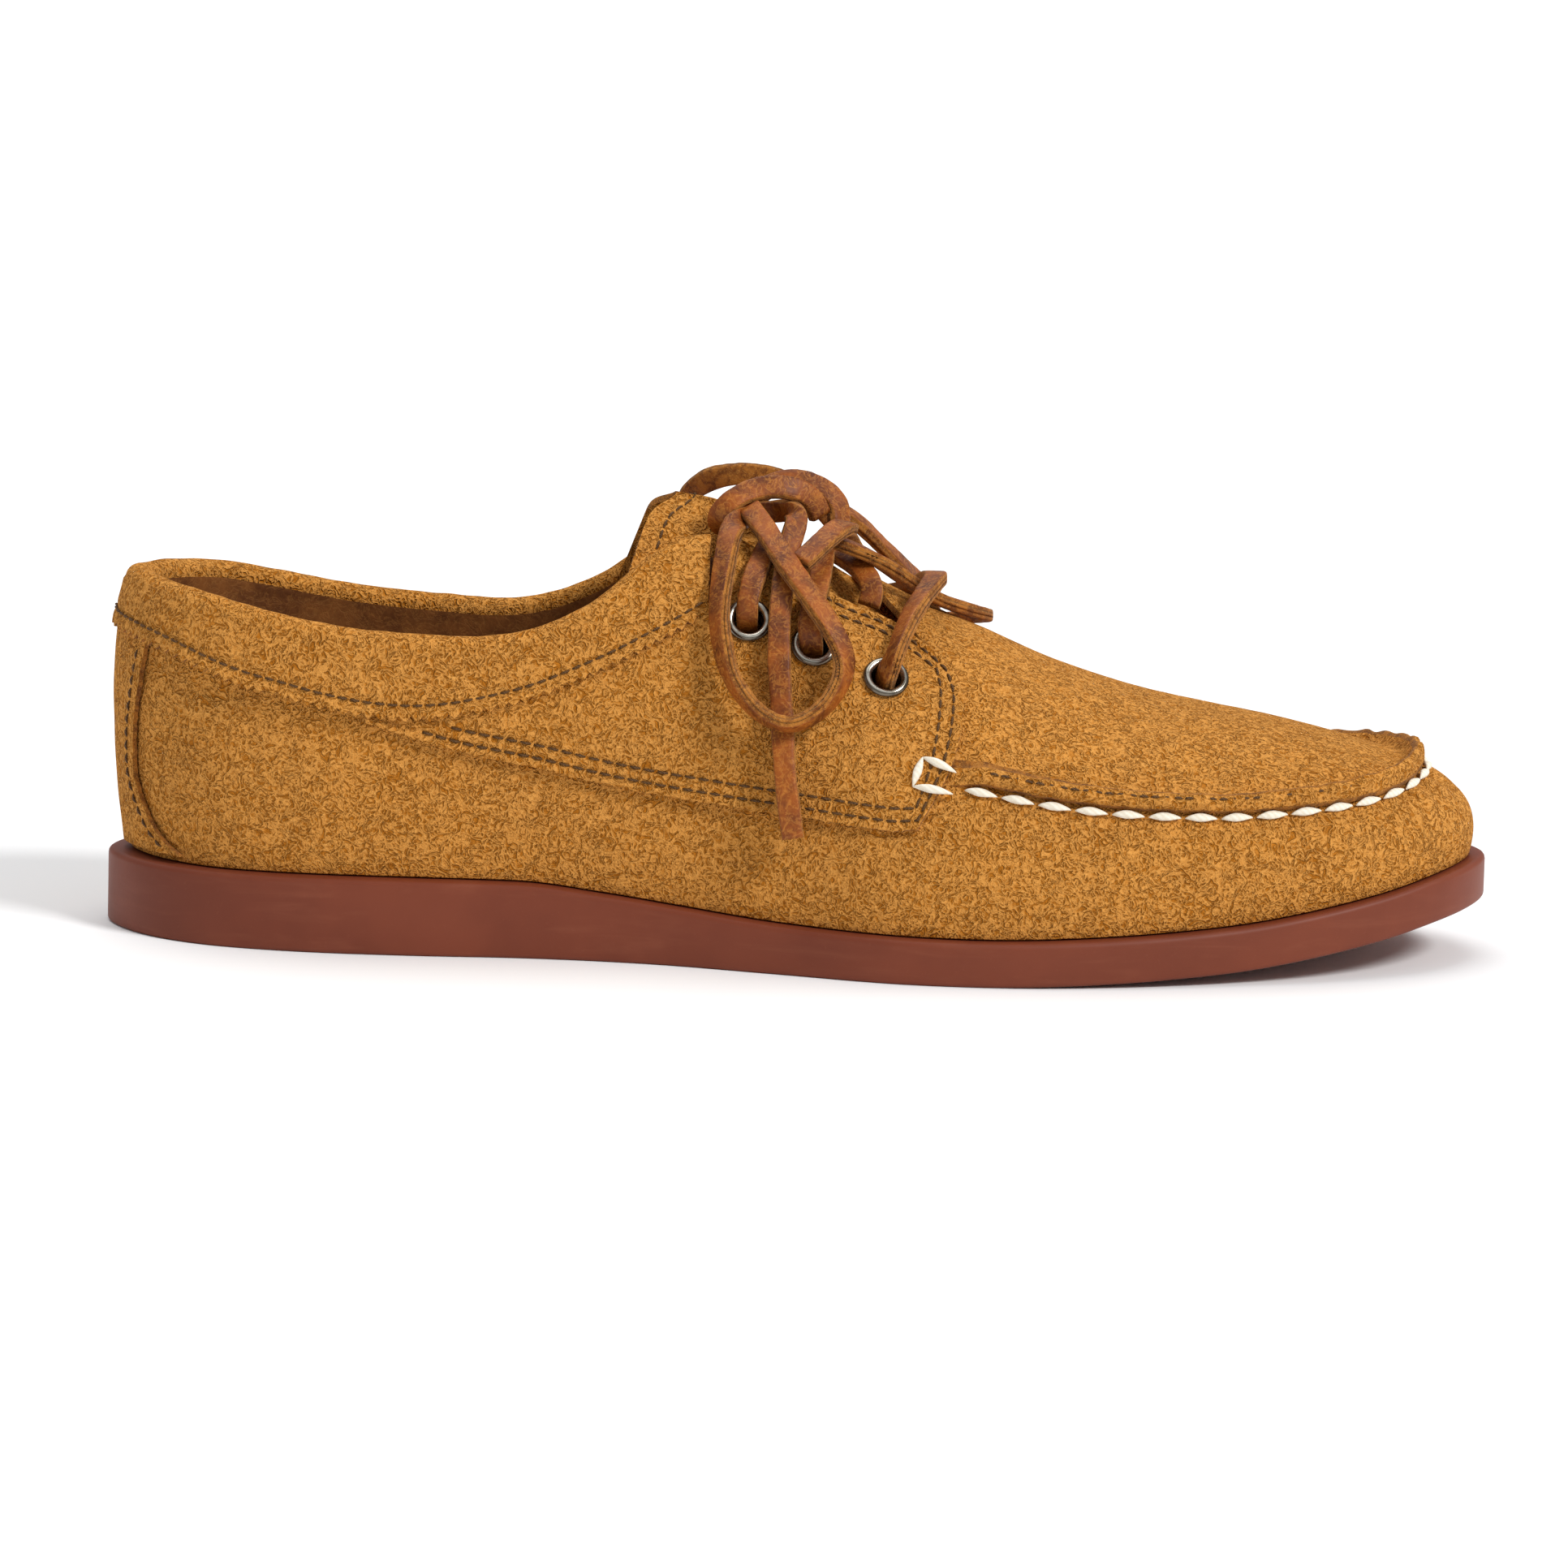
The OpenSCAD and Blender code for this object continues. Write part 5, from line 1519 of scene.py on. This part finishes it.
@dataclass
class Lace:
    """The square-cut rawhide lace: its crossings, its knot and its bow."""

    wear: Wardrobe
    width: float = 4.7
    thickness: float = 2.7
    corner: float = 0.45
    step: float = 0.9
    easing: int = 8
    crossings: Sequence[Strand] = (
        Strand((
            (17.5, -27.5, 59.5), (18, -31, 63), (19.5, -32, 67), (23, -22, 74.5), (27, -10, 79), (28.5, -3, 80),
            (27.5, 5, 79), (24, 14, 75.5), (17, 23, 72.5), (9, 27, 71), (5, 26, 69), (4.5, 20.5, 65.5)),
               (1, 0, 0), ((0, 200), (0.25, 235), (0.5, 270), (1, 270))),
        Strand((
            (6, -6, 88), (15, -6, 84.5), (27, 2, 75.8), (34, 7, 72.4), (39, 13, 70), (38, 22, 68), (31, 31, 66),
            (23, 34, 64), (18, 32, 63), (19, 25, 59.5)), (0, 0, 1), ((0, 0), (1, 0))),
        Strand((
            (2, -24.5, 65.5), (2, -28, 69), (1, -28, 73), (3, -21, 80), (4, -12, 86)), (1, 0, 0),
               ((0, 270), (1, 270))),
        Strand((
            (-12, -22.5, 71), (-12, -26, 74), (-12, -26, 78), (-10, -20, 84), (-8, -11, 87)), (1, 0, 0),
               ((0, 270), (1, 270))),
        Strand((
            (-9.5, 17.5, 70.5), (-10, 23, 73), (-10, 24, 77), (-12, 18, 84), (-13, 9, 90)), (1, 0, 0),
               ((0, 90), (1, 90))),
        Strand((
            (14, -12, 75), (15, -11, 78), (13, -7, 81.5), (9, -2, 84), (4, 3, 86)), (1, 0, 0.2),
               ((0, 270), (1, 270))))
    knot: Sequence[Strand] = (
        Strand((
            (-16, -4, 90), (-19, -9, 92), (-17, -10, 96), (-11, -7, 99), (-4, -6, 99.5), (1, -4, 97), (3, -3, 93)),
               (0, -1, 0), ((0, -30), (1, -30))),
        Strand((
            (-13, 2, 94), (-9, 3, 98), (-3, 3, 100), (3, 2, 98.5), (7, 0, 95), (7, -3, 91)), (0, -1, 0),
               ((0, -40), (1, -40))),
        Strand((
            (-1, -22, 85.5), (2, -19.5, 88), (5, -16, 90.5), (8, -11, 92), (9, -7, 91)), (0, -0.6, 1),
               ((0, 0), (1, 0))))
    bows: dict[str, Strand] = field(default_factory=lambda: {
        "lateral": Strand((
            (-12, -10, 95), (-9, -15, 92), (-5, -22, 87), (0, -28, 81), (4, -32, 76), (8, -35, 70), (9, -38, 65),
            (6, -42, 59), (1, -44, 55), (-4, -44, 54), (-10, -42, 57), (-15, -38, 63), (-17, -35, 69),
            (-18, -31, 76), (-17, -22, 86), (-15.5, -13.7, 92), (-12, -5, 93.2), (-7, -2, 93.5), (-3, -6, 94.5),
            (-2, -11, 92.5), (-4, -17.5, 86), (-5, -28, 75.5), (-5, -34, 67), (-4, -39, 55), (-3, -44.5, 43),
            (-1, -47, 30)),
            (0, -1, -0.2), ((0, -35), (0.15, -50), (0.45, -50), (0.58, -25), (0.68, 0), (1, 0))),
        "medial": Strand((
            (3, 7, 95), (7, 8, 93), (12, 9, 89.5), (20, 15, 81), (26, 25, 74), (29, 35, 68), (24, 42, 60),
            (13, 43, 52), (2, 40, 52), (-9, 36, 60), (-17, 34, 70), (-23, 30, 81), (-26, 22, 91), (-23, 14, 97),
            (-16, 9, 100), (-8, 9, 99.5), (-1, 13, 96), (6, 20, 89), (12, 30, 78), (15, 36, 66), (16, 38, 53),
            (18, 43, 42), (19, 45, 32)),
            (0, 1, 0.2), ((0, 90), (0.3, 90), (0.5, 0), (1, 0)))})

    def section(self) -> Points:
        """Outline of the thong's cut end: (across, up), with the grain side up."""
        w, h, c = self.width / 2, self.thickness / 2, self.corner
        outline = []
        for cx, cy, start in ((w - c, h - c, 0), (-w + c, h - c, 90), (-w + c, -h + c, 180), (w - c, -h + c, 270)):
            outline += [(cx + c * math.cos(math.radians(start + a)), cy + c * math.sin(math.radians(start + a)))
                        for a in (0, 45, 90)]
            if start in (0, 180):
                sign = 1 if start == 0 else -1
                outline += [(sign * w * f, sign * h * 1.03) for f in (0.45, 0, -0.45)]
            else:
                sign = -1 if start == 90 else 1
                outline += [(sign * w * 1.02, -sign * h * f) for f in (-0.4, 0.0, 0.4)] if start == 90 else [
                    (sign * w * 1.02, sign * h * f) for f in (-0.4, 0.0, 0.4)]
        return np.array(outline)

    def path(self, strand: Strand) -> Points:
        """Evenly spaced points along a strand's route."""
        points = np.array(strand.route, float)
        fine = spline(points, np.linspace(0, len(points) - 1, len(points) * 30), False)
        run = arc_lengths(fine)
        at = np.linspace(0, run[-1], max(int(run[-1] / self.step), 8) + 1)
        line = np.stack([np.interp(at, run, fine[:, c]) for c in range(3)], -1)
        for _ in range(self.easing):
            line[1:-1] += 0.25 * (line[:-2] - 2 * line[1:-1] + line[2:])
        return line

    def lay(self, piece: Piece, strand: Strand, seed: int) -> Points:
        """Adds one strand to a piece and returns its centreline."""
        line = self.path(strand)
        ahead = tangents(line)
        aside = np.array(strand.aside, float)
        base = unit(aside - (ahead @ aside)[:, None] * ahead)
        roll = np.radians(smooth_curve(strand.roll, np.linspace(0, 1, len(line))))[:, None]
        ups = np.cos(roll) * base + np.sin(roll) * np.cross(ahead, base)
        across = np.cross(ups, ahead)
        outline = self.section()
        wobble = 1 + 0.05 * wander(line, 9, seed)
        rough = wander(line[:, None] + outline[None, :, :1] * across[:, None], 2.2, seed + 1) * 0.03
        grain = (outline[:, 1] > self.thickness / 2 - 0.2)
        slots = [0 if grain[k] and grain[(k + 1) % len(outline)] else 1 for k in range(len(outline))]
        swept(line, lambda i: outline * (wobble[i] + rough[i][:, None]), across, ups, piece, slots)
        return line

    def build(self) -> None:
        """Builds the bow first, then the knot and the crossings."""
        finishes = [self.wear.hide, self.wear.hide_cut]
        for side, strand in self.bows.items():
            bow = Piece()
            line = self.lay(bow, strand, 61 if side == "lateral" else 71)
            thong = bow.make(f"lace_bow_{side}_thong", finishes, SHOE, "rawhide", [f"lace_bow_{side}"])
            (line[0] * MM).tolist()
            round(float(arc_lengths(line)[-1]) * MM, 4)
            (line * MM).tolist()
        for name, strands in (("lace_knot", self.knot), ("lace_crossings", self.crossings)):
            piece = Piece()
            for k, strand in enumerate(strands):
                self.lay(piece, strand, 81 + 10 * k)
            piece.make(f"{name}_thong", finishes, SHOE, "rawhide", [name])


# ---------------------------------------------------------------- studio


@dataclass
class Studio:
    """Floor paper, soft lights and a long-lens camera level with the shoe's lateral side."""

    elevation: float = 10
    lean: float = 1.5
    lens: float = 200
    view_width: float = 340.9
    aim_right: float = 3.53
    aim_up: float = 11.96
    aim_height: float = 45.7
    sky: float = 0.45

    def camera(self) -> None:
        """Makes the camera. Its picture is square."""
        tilt, lean = math.radians(self.elevation), math.radians(self.lean)
        ahead = Vector((0, math.cos(tilt), -math.sin(tilt)))
        up = Vector((0, math.sin(tilt), math.cos(tilt)))
        right = Vector((1, 0, 0))
        cam_right = right * math.cos(lean) + up * math.sin(lean)
        cam_up = up * math.cos(lean) - right * math.sin(lean)
        data = bpy.data.cameras.new("camera")
        data.lens, data.sensor_width = self.lens, 36
        distance = self.view_width * self.lens / 36
        aim = Vector((0, 0, self.aim_height)) - cam_right * self.aim_right - cam_up * self.aim_up
        camera = bpy.data.objects.new("camera", data)
        turn = Matrix((cam_right, cam_up, -ahead)).transposed().to_4x4()
        camera.matrix_world = Matrix.Translation((aim - ahead * distance) * MM) @ turn
        data.clip_start, data.clip_end = 0.05, 50
        bpy.context.scene.collection.objects.link(camera)
        bpy.context.scene.camera = camera

    def lamp(self, name: str, toward: Colour, spread: float, power: float) -> None:
        """Adds a soft light so far off that it falls evenly.

        Args:
            name: Its name.
            toward: Direction from the shoe to the light.
            spread: How wide the light looks, in degrees.
            power: Its strength.
        """
        data = bpy.data.lights.new(name, "SUN")
        data.angle, data.energy = math.radians(spread), power
        lamp = bpy.data.objects.new(name, data)
        lamp.rotation_euler = (-Vector(toward)).to_track_quat("-Z", "Y").to_euler()
        bpy.context.scene.collection.objects.link(lamp)

    def build(self) -> None:
        """Lays the floor and sets the lights."""
        mesh = bpy.data.meshes.new("floor")
        reach = 6.0
        mesh.from_pydata([(-reach, -reach, 0), (reach, -reach, 0), (reach, reach, 0), (-reach, reach, 0)], [],
                         [(0, 1, 2, 3)])
        mesh.materials.append(StudioFloor().make())
        floor = bpy.data.objects.new("floor", mesh)
        bpy.context.scene.collection.objects.link(floor)
        world = bpy.data.worlds.new("studio")
        world.use_nodes = True
        tree = world.node_tree
        sky, seen = tree.nodes["Background"], tree.nodes.new("ShaderNodeBackground")
        sky.inputs[0].default_value, sky.inputs[1].default_value = (0.97, 0.985, 1.0, 1), self.sky
        seen.inputs[0].default_value = (1, 1, 1, 1)
        ray, mix = tree.nodes.new("ShaderNodeLightPath"), tree.nodes.new("ShaderNodeMixShader")
        for a, b in ((ray.outputs["Is Camera Ray"], mix.inputs[0]), (sky.outputs[0], mix.inputs[1]),
                     (seen.outputs[0], mix.inputs[2]), (mix.outputs[0], tree.nodes["World Output"].inputs[0])):
            tree.links.new(a, b)
        bpy.context.scene.world = world
        bpy.context.scene.view_settings.view_transform = "Standard"
        self.lamp("key", (0.9, -0.7, 1.0), 16, 2.1)
        self.lamp("top", (-0.2, 0.5, 1.6), 50, 1.25)


def main() -> None:
    """Builds the moccasin and its studio."""
    logging.basicConfig(level=logging.INFO, format="%(name)s %(message)s")
    studio = Studio()
    studio.camera()
    low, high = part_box("outsole")
    wear = Wardrobe()
    Lace(wear).build()
    pattern = Pattern(Last(sole_length=(high.x - low.x) / MM))
    Sole(pattern, wear).build()
    upper = Upper(pattern, wear)
    upper.build()
    Collar(pattern, wear).build()
    Tongue(pattern, wear).build()
    Eyelets(pattern, wear).build()
    Seams(pattern, wear, upper).build()
    studio.build()


if __name__ == "__main__":
    main()
